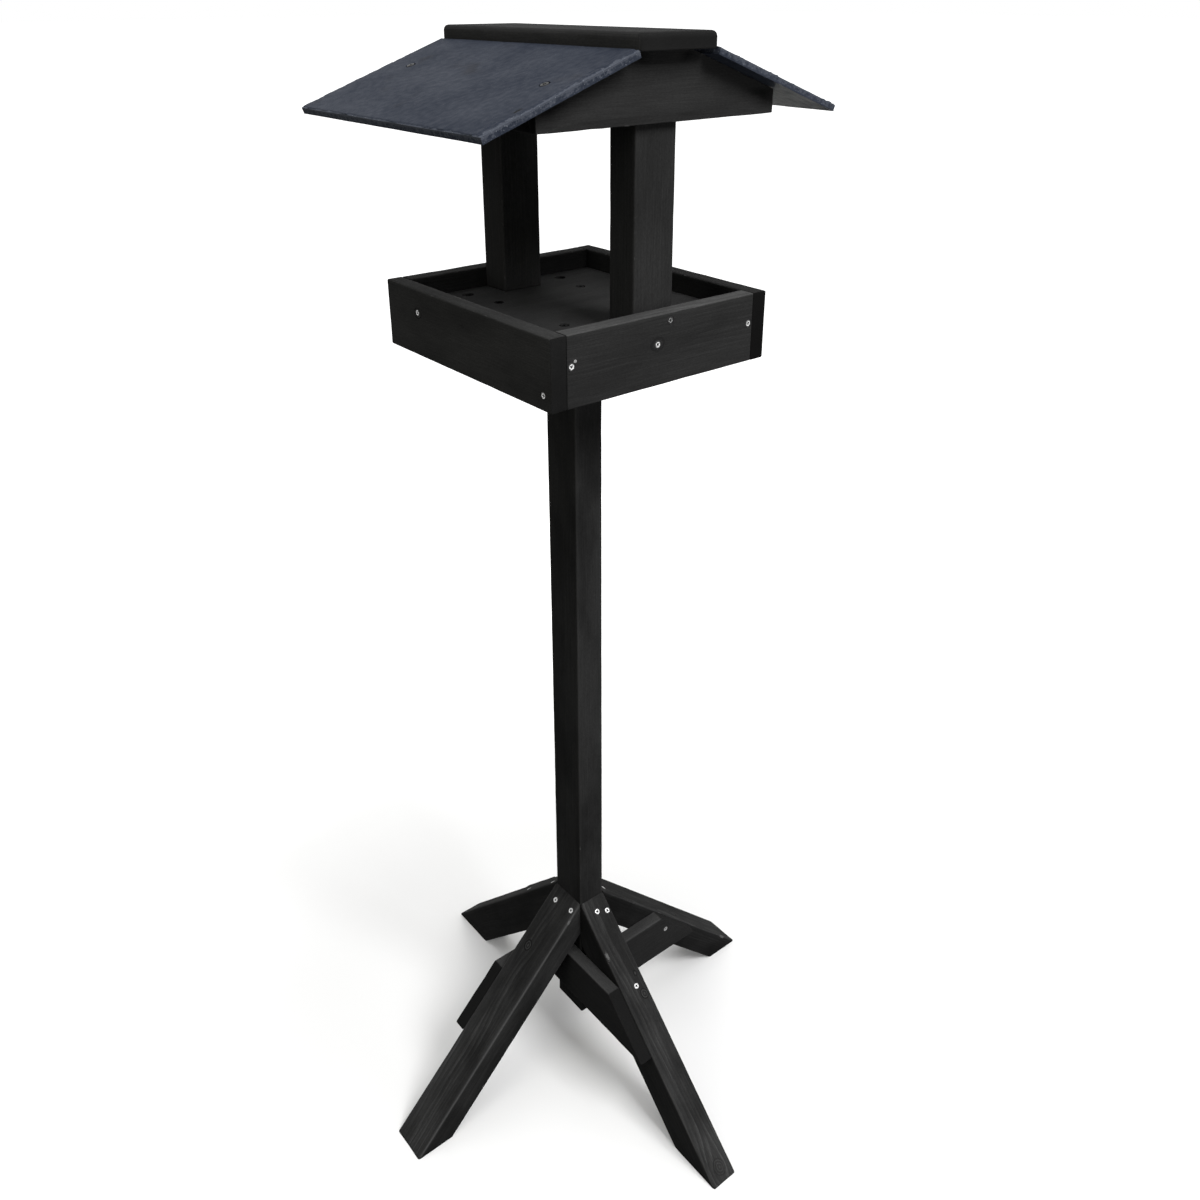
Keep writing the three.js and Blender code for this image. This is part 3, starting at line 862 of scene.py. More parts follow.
def band(bm: bmesh.types.BMesh, before: Sequence[bmesh.types.BMVert],
         after: Sequence[bmesh.types.BMVert]) -> None:
    """Joins two rings of equal count with quads.

    Args:
        bm: The mesh.
        before: The first ring.
        after: The second ring.
    """
    for index, vert in enumerate(before):
        following = (index + 1) % len(before)
        bm.faces.new((vert, before[following], after[following], after[index]))


def skin(bm: bmesh.types.BMesh, rings: Sequence[Sequence[bmesh.types.BMVert]]) -> None:
    """Joins rings of equal count with quads and closes both ends.

    Args:
        bm: The mesh.
        rings: The rings in order.
    """
    for before, after in zip(rings, rings[1:]):
        band(bm, before, after)
    bm.faces.new(reversed(rings[0]))
    bm.faces.new(rings[-1])
    bmesh.ops.recalc_face_normals(bm, faces=bm.faces)


@dataclass(frozen=True)
class Slab:
    """A board cut to a convex outline in X and Y, as thick as Z says, with eased edges.

    `corner_round` is the radius of the outline's corners, `edge_round` that of the edges, and
    `foot_round` that of the edges at Z zero, where it differs.
    """

    outline: tuple[tuple[float, float], ...]
    thickness: float
    edge_round: float = 0.8
    corner_round: float = 0.8
    foot_round: float | None = None
    step: float = 14.0

    CORNER_STEPS = 4
    FACE_RINGS = (0.72, 0.9)

    def rounded(self) -> list[tuple[Vector, Vector]]:
        """The outline's points with their outward directions.

        Returns:
            Pairs of point and direction, in order.
        """
        count = len(self.outline)
        corners = [Vector((*point, 0)) for point in self.outline]
        made: list[tuple[Vector, Vector]] = []
        for index, corner in enumerate(corners):
            into = (corner - corners[index - 1]).normalized()
            away = (corners[(index + 1) % count] - corner).normalized()
            turn = into.angle(away)
            back = self.corner_round * math.tan(turn / 2)
            outward = into.cross(Z)
            centre = corner - into * back - outward * self.corner_round
            for part in range(self.CORNER_STEPS + 1):
                direction = outward.copy()
                direction.rotate(Matrix.Rotation(turn * part / self.CORNER_STEPS, 3, "Z"))
                made.append((centre + direction * self.corner_round, direction))
            following = corners[(index + 1) % count]
            beyond = (corners[(index + 2) % count] - following).normalized()
            stop = following - away * self.corner_round * math.tan(away.angle(beyond) / 2)
            begin = made[-1][0]
            pieces = max(1, round((stop - begin).length / self.step))
            made += [(begin.lerp(stop, part / pieces), made[-1][1]) for part in range(1, pieces)]
        return made

    def edge_distance(self, point: Vector) -> float:
        """How far a surface point is from the nearest edge.

        Args:
            point: The point, in millimetres.

        Returns:
            The distance in millimetres.
        """
        flat = Vector((point.x, point.y, 0))
        corners = [Vector((*corner, 0)) for corner in self.outline]
        sides = [point.z, self.thickness - point.z]
        for before, corner in zip(corners[-1:] + corners[:-1], corners):
            sides.append((corner - before).normalized().cross(Z).dot(corner - flat))
        return sorted(sides)[1]

    def bareness(self, point: Vector, reach: float) -> float:
        """How exposed a surface point is to rubbing, from 1 on an edge to 0 at the given reach."""
        return max(0.0, 1 - self.edge_distance(point) / reach)

    def build(self) -> bmesh.types.BMesh:
        """Makes the closed mesh.

        Returns:
            The mesh, in millimetres.
        """
        outline = self.rounded()
        middle = sum((point for point, _ in outline), Vector()) / len(outline)
        foot = self.edge_round if self.foot_round is None else self.foot_round
        levels = [(foot, 0.0, share) for share in self.FACE_RINGS]
        levels += [(foot * inset, foot * rise, 1.0) for inset, rise in ROUNDING]
        levels += [(self.edge_round * inset, self.thickness - self.edge_round * rise, 1.0)
                   for inset, rise in reversed(ROUNDING)]
        levels += [(self.edge_round, self.thickness, share) for share in reversed(self.FACE_RINGS)]
        bm = bmesh.new()
        rings = []
        for inset, height, share in levels:
            places = [middle + (point - outward * inset - middle) * share for point, outward in outline]
            rings.append([bm.verts.new((place.x, place.y, height)) for place in places])
        skin(bm, rings)
        return bm


@dataclass(frozen=True)
class SlateSheet:
    """A riven slate: uneven faces, and upper edges dressed by chipping.

    `riven` is how uneven its faces are, `chip_reach` how far in the chipping goes and `chip_drop`
    how deep. `front` is the sign of Y at its well-chipped verge. `crowding` is how much closer
    its points lie at the edges than in the middle.
    """

    width: float
    depth: float
    thickness: float
    step: float = 2.2
    crowding: float = 0.72
    riven: float = 0.5
    chip_reach: float = 11.0
    chip_drop: float = 1.2
    front: int = -1
    seed: float = 0.0

    def chipping(self, x: float, y: float) -> float:
        """How far the top is broken down at a place.

        Args:
            x: Place down the slope.
            y: Place along the verge.

        Returns:
            From 0 on the face to 1 where the edge is most broken.
        """
        most = 0.0
        y *= -self.front
        edges = ((self.depth / 2 + y, x, 1.0), (self.depth / 2 - y, x, 0.12), (self.width - x, y, 0.2))
        for distance, along, amount in edges:
            broad = noise.noise(Vector((along / 17, self.seed + amount, 0.3)))
            sharp = noise.noise(Vector((along / 4.1, distance / 3, self.seed)))
            reach = self.chip_reach * amount * max(0.12, 0.6 + 0.7 * broad + 0.8 * sharp)
            most = max(most, 1 - distance / reach)
        return max(0.0, most)

    def build(self) -> bmesh.types.BMesh:
        """Makes the closed mesh, with a chip attribute on its points.

        Returns:
            The mesh, in millimetres.
        """
        bm = bmesh.new()
        layer = bm.verts.layers.float.new("chip")
        columns = round(self.width / self.step)
        rows = round(self.depth / self.step)
        close = self.crowding
        xs = [self.width * (0.5 - 0.5 * math.cos(math.pi * part / columns)) * close
              + (1 - close) * self.width * part / columns for part in range(columns + 1)]
        ys = [-self.depth / 2 * (close * math.cos(math.pi * part / rows)
                                 + (1 - close) * (1 - 2 * part / rows)) for part in range(rows + 1)]
        tops, bottoms = [], []
        for x in xs:
            tops.append([])
            bottoms.append([])
            for y in ys:
                chip = self.chipping(x, y)
                swell = noise.fractal(Vector((x / 46, y / 70, self.seed)), 1.0, 2.1, 4)
                low = noise.fractal(Vector((x / 40, y / 60, self.seed + 9)), 1.0, 2.1, 3)
                ledge = (math.floor(3 * chip) + min(1.0, 2.5 * (3 * chip % 1))) / 3
                top = self.thickness - self.riven * min(1.0, max(0.0, 0.45 + 0.5 * swell))
                top -= self.chip_drop * ledge
                vert = bm.verts.new((x, y, top))
                vert[layer] = min(1.0, chip * 1.3)
                tops[-1].append(vert)
                hollow = self.riven * 0.6 * min(1.0, max(0.0, 0.5 + low))
                bottoms[-1].append(bm.verts.new((x, y, hollow)))
        for i in range(columns):
            for j in range(rows):
                bm.faces.new((tops[i][j], tops[i + 1][j], tops[i + 1][j + 1], tops[i][j + 1]))
                bm.faces.new((bottoms[i][j], bottoms[i][j + 1], bottoms[i + 1][j + 1], bottoms[i + 1][j]))
        rim = [(i, 0) for i in range(columns + 1)] + [(columns, j) for j in range(1, rows + 1)]
        rim += [(i, rows) for i in range(columns - 1, -1, -1)] + [(0, j) for j in range(rows - 1, 0, -1)]
        self.close_edge(bm, layer, [tops[i][j] for i, j in rim], [bottoms[i][j] for i, j in rim])
        bmesh.ops.recalc_face_normals(bm, faces=bm.faces)
        return bm

    def close_edge(self, bm: bmesh.types.BMesh, layer: object, upper: list, lower: list) -> None:
        """Joins the top's rim to the bottom's through two broken ledges.

        Args:
            bm: The mesh.
            layer: The chip attribute.
            upper: The top's rim.
            lower: The bottom's rim.
        """
        rings = [upper]
        middle = Vector((self.width / 2, 0, 0))
        for share in (0.35, 0.7):
            ring = []
            for above, below in zip(upper, lower):
                place = above.co.lerp(below.co, share)
                ragged = 0.5 if place.y * self.front > 0 else 0.2
                bite = ragged * max(0.0, noise.noise(place / 5 + Vector((0, 0, 3 * share))))
                inward = Vector((middle.x - place.x, -place.y, 0)).normalized()
                vert = bm.verts.new(place + inward * bite)
                vert[layer] = 0.55
                ring.append(vert)
            rings.append(ring)
        rings.append(lower)
        for before, after in zip(rings, rings[1:]):
            band(bm, before, after)


def lathe(profile: Sequence[tuple[float, float]], sides: int) -> bmesh.types.BMesh:
    """Turns a profile round Z.

    Args:
        profile: Pairs of radius and height from bottom to top; the first and last radius are zero.
        sides: How many steps go round.

    Returns:
        The closed mesh.
    """
    bm = bmesh.new()
    turns = [2 * math.pi * side / sides for side in range(sides)]
    rings = []
    for radius, height in profile[1:-1]:
        places = [(radius * math.cos(turn), radius * math.sin(turn), height) for turn in turns]
        rings.append([bm.verts.new(place) for place in places])
    low = bm.verts.new((0, 0, profile[0][1]))
    high = bm.verts.new((0, 0, profile[-1][1]))
    for before, after in zip(rings, rings[1:]):
        band(bm, before, after)
    for side in range(sides):
        following = (side + 1) % sides
        bm.faces.new((low, rings[0][following], rings[0][side]))
        bm.faces.new((high, rings[-1][side], rings[-1][following]))
    return bm


def to_mesh(bm: bmesh.types.BMesh, name: str) -> bpy.types.Mesh:
    """Turns a mesh in millimetres into Blender's, in metres.

    Args:
        bm: The mesh, which is used up.
        name: The new mesh's name.

    Returns:
        The new mesh.
    """
    bmesh.ops.scale(bm, vec=(METRES,) * 3, verts=bm.verts)
    made = bpy.data.meshes.new(name)
    bm.to_mesh(made)
    bm.free()
    return made


def add_object(name: str, data: bpy.types.ID) -> bpy.types.Object:
    """Adds an object to the scene.

    Args:
        name: Its name.
        data: Its mesh, camera or light.

    Returns:
        The new object.
    """
    made = bpy.data.objects.new(name, data)
    bpy.context.scene.collection.objects.link(made)
    return made


def keep_numbers(mesh: bpy.types.Mesh, name: str, domain: str, values: list[float]) -> None:
    """Keeps a number for each point or face on a mesh, for its material to read."""
    mesh.attributes.new(name, "FLOAT", domain).data.foreach_set("value", values)


def cut(mesh: bpy.types.Mesh, cutters: Sequence[bpy.types.Mesh]) -> bpy.types.Mesh:
    """Takes cutters out of a mesh.

    Args:
        mesh: The mesh to cut.
        cutters: The closed meshes to take away, in the same frame.

    Returns:
        The cut mesh.
    """
    body = add_object("cutting", mesh)
    tools = [add_object("cutter", cutter) for cutter in cutters]
    for tool in tools:
        step = body.modifiers.new("cut", "BOOLEAN")
        step.operation, step.solver, step.object = "DIFFERENCE", "MANIFOLD", tool
    graph = bpy.context.evaluated_depsgraph_get()
    made = bpy.data.meshes.new_from_object(body.evaluated_get(graph))
    for spent in (body, *tools):
        bpy.data.objects.remove(spent)
    return made


# Screws


class ScrewKind(Enum):
    """The kinds of screw: clean zinc, with stain over its rim or all over, black, and worn black."""

    ZINC = (Slot.ZINC, ZINC)
    STAINED = (Slot.ZINC, STAINED_ZINC)
    SMEARED = (Slot.ZINC, SMEARED_ZINC)
    BLACK = (Slot.BLACK, BLACK_COAT)
    BLUED = (Slot.BLACK, BLUED_STEEL)


@dataclass(frozen=True)
class Screw:
    """A countersunk cross-recess screw, in its own frame: its face at Z zero, its shank down -Z.

    `loose` is how much wider than usual its hole is around the head.
    """

    name: str
    point: tuple[float, float, float]
    direction: tuple[float, float, float]
    length: float
    kind: ScrewKind = ScrewKind.ZINC
    loose: float = 0.0

    HEAD = 4.0
    SHANK = 2.0
    HEAD_RIM = 0.4
    TIP = 5.0
    CLEARANCE = 0.3
    WIDE_HOLE = 0.9
    PROUD = 12.0
    SIDES = 32
    RECESS_MOUTH = (4.8, 1.25, 0.3)
    RECESS_FOOT = (1.6, 0.7, -1.7)
    PIT = ((0, -2.0), (0.45, -1.7), (1.35, 0.2), (0, 0.2))
    PIT_SIDES = 16

    @property
    def cone(self) -> float:
        """The height at which the head's cone ends in the shank."""
        return -self.HEAD_RIM - (self.HEAD - self.SHANK)

    @property
    def place(self) -> Matrix:
        """The placement, with the recess turned a different way on each screw.

        Returns:
            The placement matrix, in millimetres.
        """
        outward = -Vector(self.direction).normalized()
        turned = outward.to_track_quat("Z", "Y").to_matrix().to_4x4()
        roll = Matrix.Rotation(math.radians(37 * sum(map(ord, self.name)) % 90), 4, "Z")
        return Matrix.Translation(Vector(self.point)) @ turned @ roll

    def cutter(self, into: Matrix) -> bpy.types.Mesh:
        """The countersunk hole's shape in another piece's frame.

        Args:
            into: That piece's placement, in millimetres.

        Returns:
            The cutter's mesh, in metres.
        """
        gap = self.CLEARANCE
        mouth = self.HEAD + gap + self.loose
        profile = ((0, -self.length - gap), (self.SHANK * 0.5, -self.length - gap + 0.5),
                   (self.SHANK + gap, self.TIP - self.length), (self.SHANK + gap, self.cone - gap),
                   (mouth, -self.HEAD_RIM - gap - 2 * self.loose), (mouth, self.PROUD), (0, self.PROUD))
        bm = lathe(profile, self.SIDES)
        bmesh.ops.transform(bm, matrix=into.inverted() @ self.place, verts=bm.verts)
        return to_mesh(bm, "hole")

    def mesh(self) -> bpy.types.Mesh:
        """The screw with its tapered cross recess.

        Returns:
            The mesh, in metres.
        """
        profile = ((0, -self.length), (self.SHANK * 0.25, 0.8 - self.length),
                   (self.SHANK, self.TIP - self.length), (self.SHANK, self.cone),
                   (self.HEAD, -self.HEAD_RIM), (self.HEAD, -0.22),
                   (self.HEAD - 0.1, -0.07), (self.HEAD - 0.35, 0.0), (self.HEAD * 0.5, 0.0), (0, 0.0))
        head = to_mesh(lathe(profile, self.SIDES), self.name)
        slots = []
        for turn in (0, math.pi / 2):
            bm = bmesh.new()
            bmesh.ops.create_cube(bm, size=1.0)
            for vert in bm.verts:
                length, width, height = self.RECESS_FOOT if vert.co.z < 0 else self.RECESS_MOUTH
                vert.co = Vector((vert.co.x * length, vert.co.y * width, height))
            bmesh.ops.rotate(bm, matrix=Matrix.Rotation(turn, 3, "Z"), verts=bm.verts)
            slots.append(to_mesh(bm, "recess"))
        slots.append(to_mesh(lathe(self.PIT, self.PIT_SIDES), "recess"))
        return cut(head, slots)


# Pieces


@dataclass
class Workshop:
    """Sets finished pieces in the frame and keeps count of them."""

    screws: list[Screw] = field(default_factory=list)
    made: int = 0

    WEAR_REACH = 3.4
    DENT_REACH = 3.0
    DENT_DEPTH = 0.9
    DENT_SLANT = 12.0
    SHARP_ANGLE = math.radians(32)
    END_GRAIN_FROM = 0.6

    def set_in_place(self, mesh: bpy.types.Mesh, node: str, place: Matrix, slot: Slot, finish: object,
                     replaces: bool = True) -> bpy.types.Object:
        """Makes a mesh into a piece of the table, with its own coordinates kept as an attribute.

        Args:
            mesh: The mesh, in metres.
            node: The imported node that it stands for, or its own name.
            place: Its placement, in millimetres.
            slot: The record's slot.
            finish: Its finish.
            replaces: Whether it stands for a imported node.

        Returns:
            The piece.
        """
        mesh.materials.clear()
        mesh.materials.append(finished(finish))
        mesh.shade_smooth()
        mesh.set_sharp_from_angle(angle=self.SHARP_ANGLE)
        own = mesh.attributes.new(OWN_PLACE, "FLOAT_VECTOR", "POINT")
        own.data.foreach_set("vector", [part for vert in mesh.vertices for part in vert.co])
        placed = place.copy()
        placed.translation *= METRES
        mesh.transform(placed)
        for vert in mesh.vertices:
            vert.co.z = max(0.0, vert.co.z)
        piece = add_object(f"finished_{node}", mesh)
        if replaces:
            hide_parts(node)
        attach(piece, BODY)
        self.made += 1
        log.info("%s: %d faces, %s", piece.name, len(mesh.polygons), slot.value)
        return piece

    def holes_in(self, shape: bpy.types.Mesh, place: Matrix) -> list[bpy.types.Mesh]:
        """The screw holes that a piece needs.

        Args:
            shape: The piece's mesh, in metres.
            place: Its placement, in millimetres.

        Returns:
            The cutters, in the piece's own frame.
        """
        low = Vector(map(min, *(vert.co for vert in shape.vertices))) / METRES
        high = Vector(map(max, *(vert.co for vert in shape.vertices))) / METRES
        needed = []
        for screw in self.screws:
            way = place.inverted() @ screw.place
            ends = (way @ Vector((0, 0, 0)), way @ Vector((0, 0, -screw.length)))
            margin = Screw.SHANK + Screw.CLEARANCE
            overlaps = all(min(a, b) < top + margin and max(a, b) > bottom - margin
                           for a, b, bottom, top in zip(*ends, low, high))
            if overlaps:
                needed.append(screw.cutter(place))
        return needed

    def timber(self, node: str, shape: Bar | Slab, place: Matrix, slot: Slot, finish: StainedTimber,
               extra: Sequence[bpy.types.Mesh] = ()) -> bpy.types.Object:
        """Makes a timber piece: its shape, worn edges, holes and finish.

        Args:
            node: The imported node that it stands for.
            shape: Its shape.
            place: Its placement, in millimetres.
            slot: The record's slot.
            finish: Its finish.
            extra: More cutters in its own frame.

        Returns:
            The piece.
        """
        bm = shape.build()
        seed = Vector((len(node) * 7.7, sum(map(ord, node)) * 0.37, 0))
        middle = sum((vert.co for vert in bm.verts), Vector()) / len(bm.verts)
        for vert in bm.verts:
            near = max(0.0, 1 - shape.edge_distance(vert.co) / self.DENT_REACH)
            if near > 0:
                dent = max(0.0, noise.noise(vert.co / 9 + seed) - 0.12)
                dent += 0.3 * max(0.0, noise.noise(vert.co / 3 + seed))
                away = vert.co - middle
                away.x = math.copysign(min(abs(away.x), self.DENT_SLANT), away.x)
                vert.co -= away.normalized() * dent * near * self.DENT_DEPTH
        mesh = to_mesh(bm, node)
        cutters = self.holes_in(mesh, place) + list(extra)
        if cutters:
            mesh = cut(mesh, cutters)
        turn = place.to_3x3()
        bare = [shape.bareness(vert.co / METRES, self.WEAR_REACH) for vert in mesh.vertices]
        ends = [min(1.0, 1.4 * abs(face.normal.x)) for face in mesh.polygons]
        # How much each face looks up, end grain left out; the finishes use it for painted top light.
        upward = [max(0.0, (turn @ face.normal).z) if abs(face.normal.x) < self.END_GRAIN_FROM else 0.0
                  for face in mesh.polygons]
        keep_numbers(mesh, "edge", "POINT", bare)
        keep_numbers(mesh, "end_grain", "FACE", ends)
        keep_numbers(mesh, "upward", "FACE", upward)
        return self.set_in_place(mesh, node, place, slot, finish)

    def screw(self, screw: Screw) -> bpy.types.Object:
        """Makes a screw and sets it in its hole."""
        slot, finish = screw.kind.value
        return self.set_in_place(screw.mesh(), screw.name, screw.place, slot, finish)


def mate(point: Sequence[float]) -> tuple[float, float, float]:
    """The same place half a turn round the post."""
    return (-point[0], -point[1], point[2])


@dataclass(frozen=True)
class LegSizes:
    """The sizes of one pair of legs and their braces, in a quarter's frame."""

    post_half: float
    leg_width: float
    leg_depth: float
    toe: float
    level_width: float
    brace_outer: float


@dataclass
class Stand:
    """Post, four sloping legs and the braces that go round the post.

    A leg's screws lie at a share of its run along the ground and across its half width; the last
    value says whether the screw is a short one. `LEG_TONE` and `LEG_TONES` hold the tone and
    the painted top light of the legs' finishes; leg_right's darker tone is painted shade on its side.
    """

    timber_narrow: float = 37.0
    timber_wide: float = 52.0
    post_bottom: float = 68.0
    post_top: float = 1042.0
    leg_top: float = 264.0
    brace_thickness: float = 17.0
    brace_height: float = 66.0
    side_brace_drop: float = 4.0
    front_brace_drop: float = 11.5
    brace_end_inset: float = 3.0
    touch_gap: float = 0.3
    screw_length: float = 38.0
    short_screw_length: float = 29.0

    SIDE_SCREWS = (("upper", 0.05, -0.44, False), ("lower", 0.04, 0.71, True))
    FRONT_SCREWS = (("upper", 0.051, -0.08, False), ("lower", 0.065, 0.68, False),
                    ("middle", 0.33, 0.22, False))
    FRONT_BRACE_SCREW = 0.5
    SIDE_BRACE_SCREW = 0.63
    SIDE_BRACE_SCREW_IN = 0.355
    KNOTS = {
        "leg_left": (Knot(-82.1, -9.7, 5.5),),
        "leg_front": (Knot(-24.4, 9.8, 5.0), Knot(-51.7, 10.0, 2.8), Knot(195.6, 1.2, 8.0, 0.4)),
        "leg_right": (Knot(40.0, -8.0, 6.0),),
        "leg_rear": (Knot(-60.0, -4.0, 5.0),),
    }
    # Painted light: each pair is a tone and a painted top light; leg_right's low tone is painted shade on
    # its side.
    LEG_TONE = (0.0175, 0.45)
    LEG_TONES = {"leg_right": (0.0115, 0.8), "leg_rear": (0.0145, 0.5)}
    # Knocked places; leg_front's two marks near the post are painted highlights.
    BRUISES = {
        "leg_front": ((-87.0, -15.5, 25.0, 2.2), (-79.0, -17.0, 24.0, 1.3)),
        "leg_right": ((168.0, -25.0, 17.5, 2.4),),
        "leg_left": ((-140.0, 25.0, 17.0, 1.6),),
    }

    def sizes(self, quarter: Quarter) -> LegSizes:
        """The sizes of a quarter's leg and brace.

        Args:
            quarter: The quarter.

        Returns:
            Its sizes.
        """
        front = quarter.faces_front
        post_half = (self.timber_wide if front else self.timber_narrow) / 2
        width = self.timber_narrow if front else self.timber_wide
        depth = self.timber_wide if front else self.timber_narrow
        outer = width / 2 + self.touch_gap + self.brace_thickness
        return LegSizes(post_half, width, depth, post_half + self.leg_top, depth * math.sqrt(2), outer)

    def brace_bottom(self, quarter: Quarter) -> float:
        """The height of a brace's lower edge: it crosses under the legs of the other pair.

        Args:
            quarter: The brace's quarter.

        Returns:
            The height in millimetres.
        """
        crossed = self.sizes(Quarter.RIGHT if quarter.faces_front else Quarter.FRONT)
        drop = self.front_brace_drop if quarter.faces_front else self.side_brace_drop
        underside = crossed.toe - crossed.level_width - self.sizes(quarter).brace_outer
        return underside - drop - self.brace_height

    def screws(self) -> list[Screw]:
        """All the stand's screws.

        Returns:
            Three or two in each leg and one in each brace.
        """
        made = []
        for quarter in Quarter:
            sizes, turn = self.sizes(quarter), quarter.turn
            inward = turn @ Vector((-1, 0, -1)).normalized()
            for name, run, across, short in self.FRONT_SCREWS if quarter.faces_front else self.SIDE_SCREWS:
                out = sizes.post_half + run * self.leg_top
                point = turn @ Vector((out, across * sizes.leg_width / 2, sizes.toe - out))
                length = self.short_screw_length if short else self.screw_length
                made.append(Screw(f"leg_{quarter.side}_screw_{name}", tuple(point), tuple(inward), length))
            share = self.FRONT_BRACE_SCREW if quarter.faces_front else self.SIDE_BRACE_SCREW
            up = self.brace_bottom(quarter) + self.brace_height * share
            inset = self.SIDE_BRACE_SCREW_IN * sizes.level_width
            out = 0.0 if quarter.faces_front else sizes.toe - inset - up
            point = turn @ Vector((out, -sizes.brace_outer, up))
            made.append(Screw(f"brace_{quarter.side}_screw", tuple(point), tuple(turn @ Y),
                              self.short_screw_length))
        return made

    def build(self, shop: Workshop) -> None:
        """Builds and dresses the stand.

        Args:
            shop: Where the pieces are made.
        """
        shop.screws = self.screws()
        post = Bar(self.timber_narrow / 2, self.timber_wide / 2, self.post_bottom, self.post_top, step=20.0)
        finish = StainedTimber("post_stain", (3.0, 70.0, 46.0), 3.4, 14.0, figure=1.35, rubbing=0.24,
                               cloudiness=0.34)
        shop.timber("post", post, axes(Z, X, Y, (0, 0, 0)), Slot.TIMBER, finish)
        for index, quarter in enumerate(Quarter):
            self.build_leg(shop, quarter, index)
            self.build_brace(shop, quarter, index)
        for screw in shop.screws:
            shop.screw(screw)

    def build_leg(self, shop: Workshop, quarter: Quarter, index: int) -> None:
        """Builds one leg, cut plumb at the post and level on the ground.

        Args:
            shop: Where the pieces are made.
            quarter: The leg's quarter.
            index: The leg's number, for its own grain.
        """
        sizes = self.sizes(quarter)
        half = math.sqrt(0.5)
        middle_out = sizes.toe - sizes.level_width / 2 - self.leg_top / 2
        start = (sizes.post_half + self.touch_gap - middle_out) / half
        end = self.leg_top / 2 / half
        shape = Bar(sizes.leg_width / 2, sizes.leg_depth / 2, start, end, start_slope=-1.0, end_slope=1.0)
        down, out = Vector((half, 0, -half)), Vector((half, 0, half))
        place = quarter.turn @ axes(down, Y, out, (middle_out, 0, self.leg_top / 2))
        node = f"leg_{quarter.side}"
        tone, weathering = self.LEG_TONES.get(node, self.LEG_TONE)
        pith = (11.0 * index, 34.0 + 5 * index, 52.0 - 9 * index)
        finish = StainedTimber(f"{node}_stain", pith, 4.0, 20.0, tone=tone, figure=2.0,
                               weathering=weathering, wear=0.36, cloudiness=0.42,
                               rubbing=1.0 if quarter is Quarter.LEFT else 0.3,
                               knots=self.KNOTS[node], bruises=self.BRUISES.get(node, ()))
        shop.timber(node, shape, place, Slot.TIMBER, finish)

    def build_brace(self, shop: Workshop, quarter: Quarter, index: int) -> None:
        """Builds one brace, from the post's far side to the leg's sloping face.

        Args:
            shop: Where the pieces are made.
            quarter: The brace's quarter.
            index: The brace's number, for its own grain.
        """
        sizes = self.sizes(quarter)
        middle = self.brace_bottom(quarter) + self.brace_height / 2
        end = sizes.toe - self.brace_end_inset - middle
        shape = Bar(self.brace_thickness / 2, self.brace_height / 2, -sizes.post_half, end, arris=1.5,
                    end_slope=-1.0, end_round=0.5)
        place = axes(X, Y, Z, (0, self.brace_thickness / 2 - sizes.brace_outer, middle))
        node = f"brace_{quarter.side}"
        # Painted top light: the braces' upper faces are drawn much lighter than their sides.
        finish = StainedTimber(f"{node}_stain", (5.0 + 13 * index, 12.0, 70.0 + 8 * index), 3.2, 12.0,
                               figure=1.15, weathering=0.75, rubbing=0.25)
        shop.timber(node, shape, quarter.turn @ place, Slot.BOARD, finish)


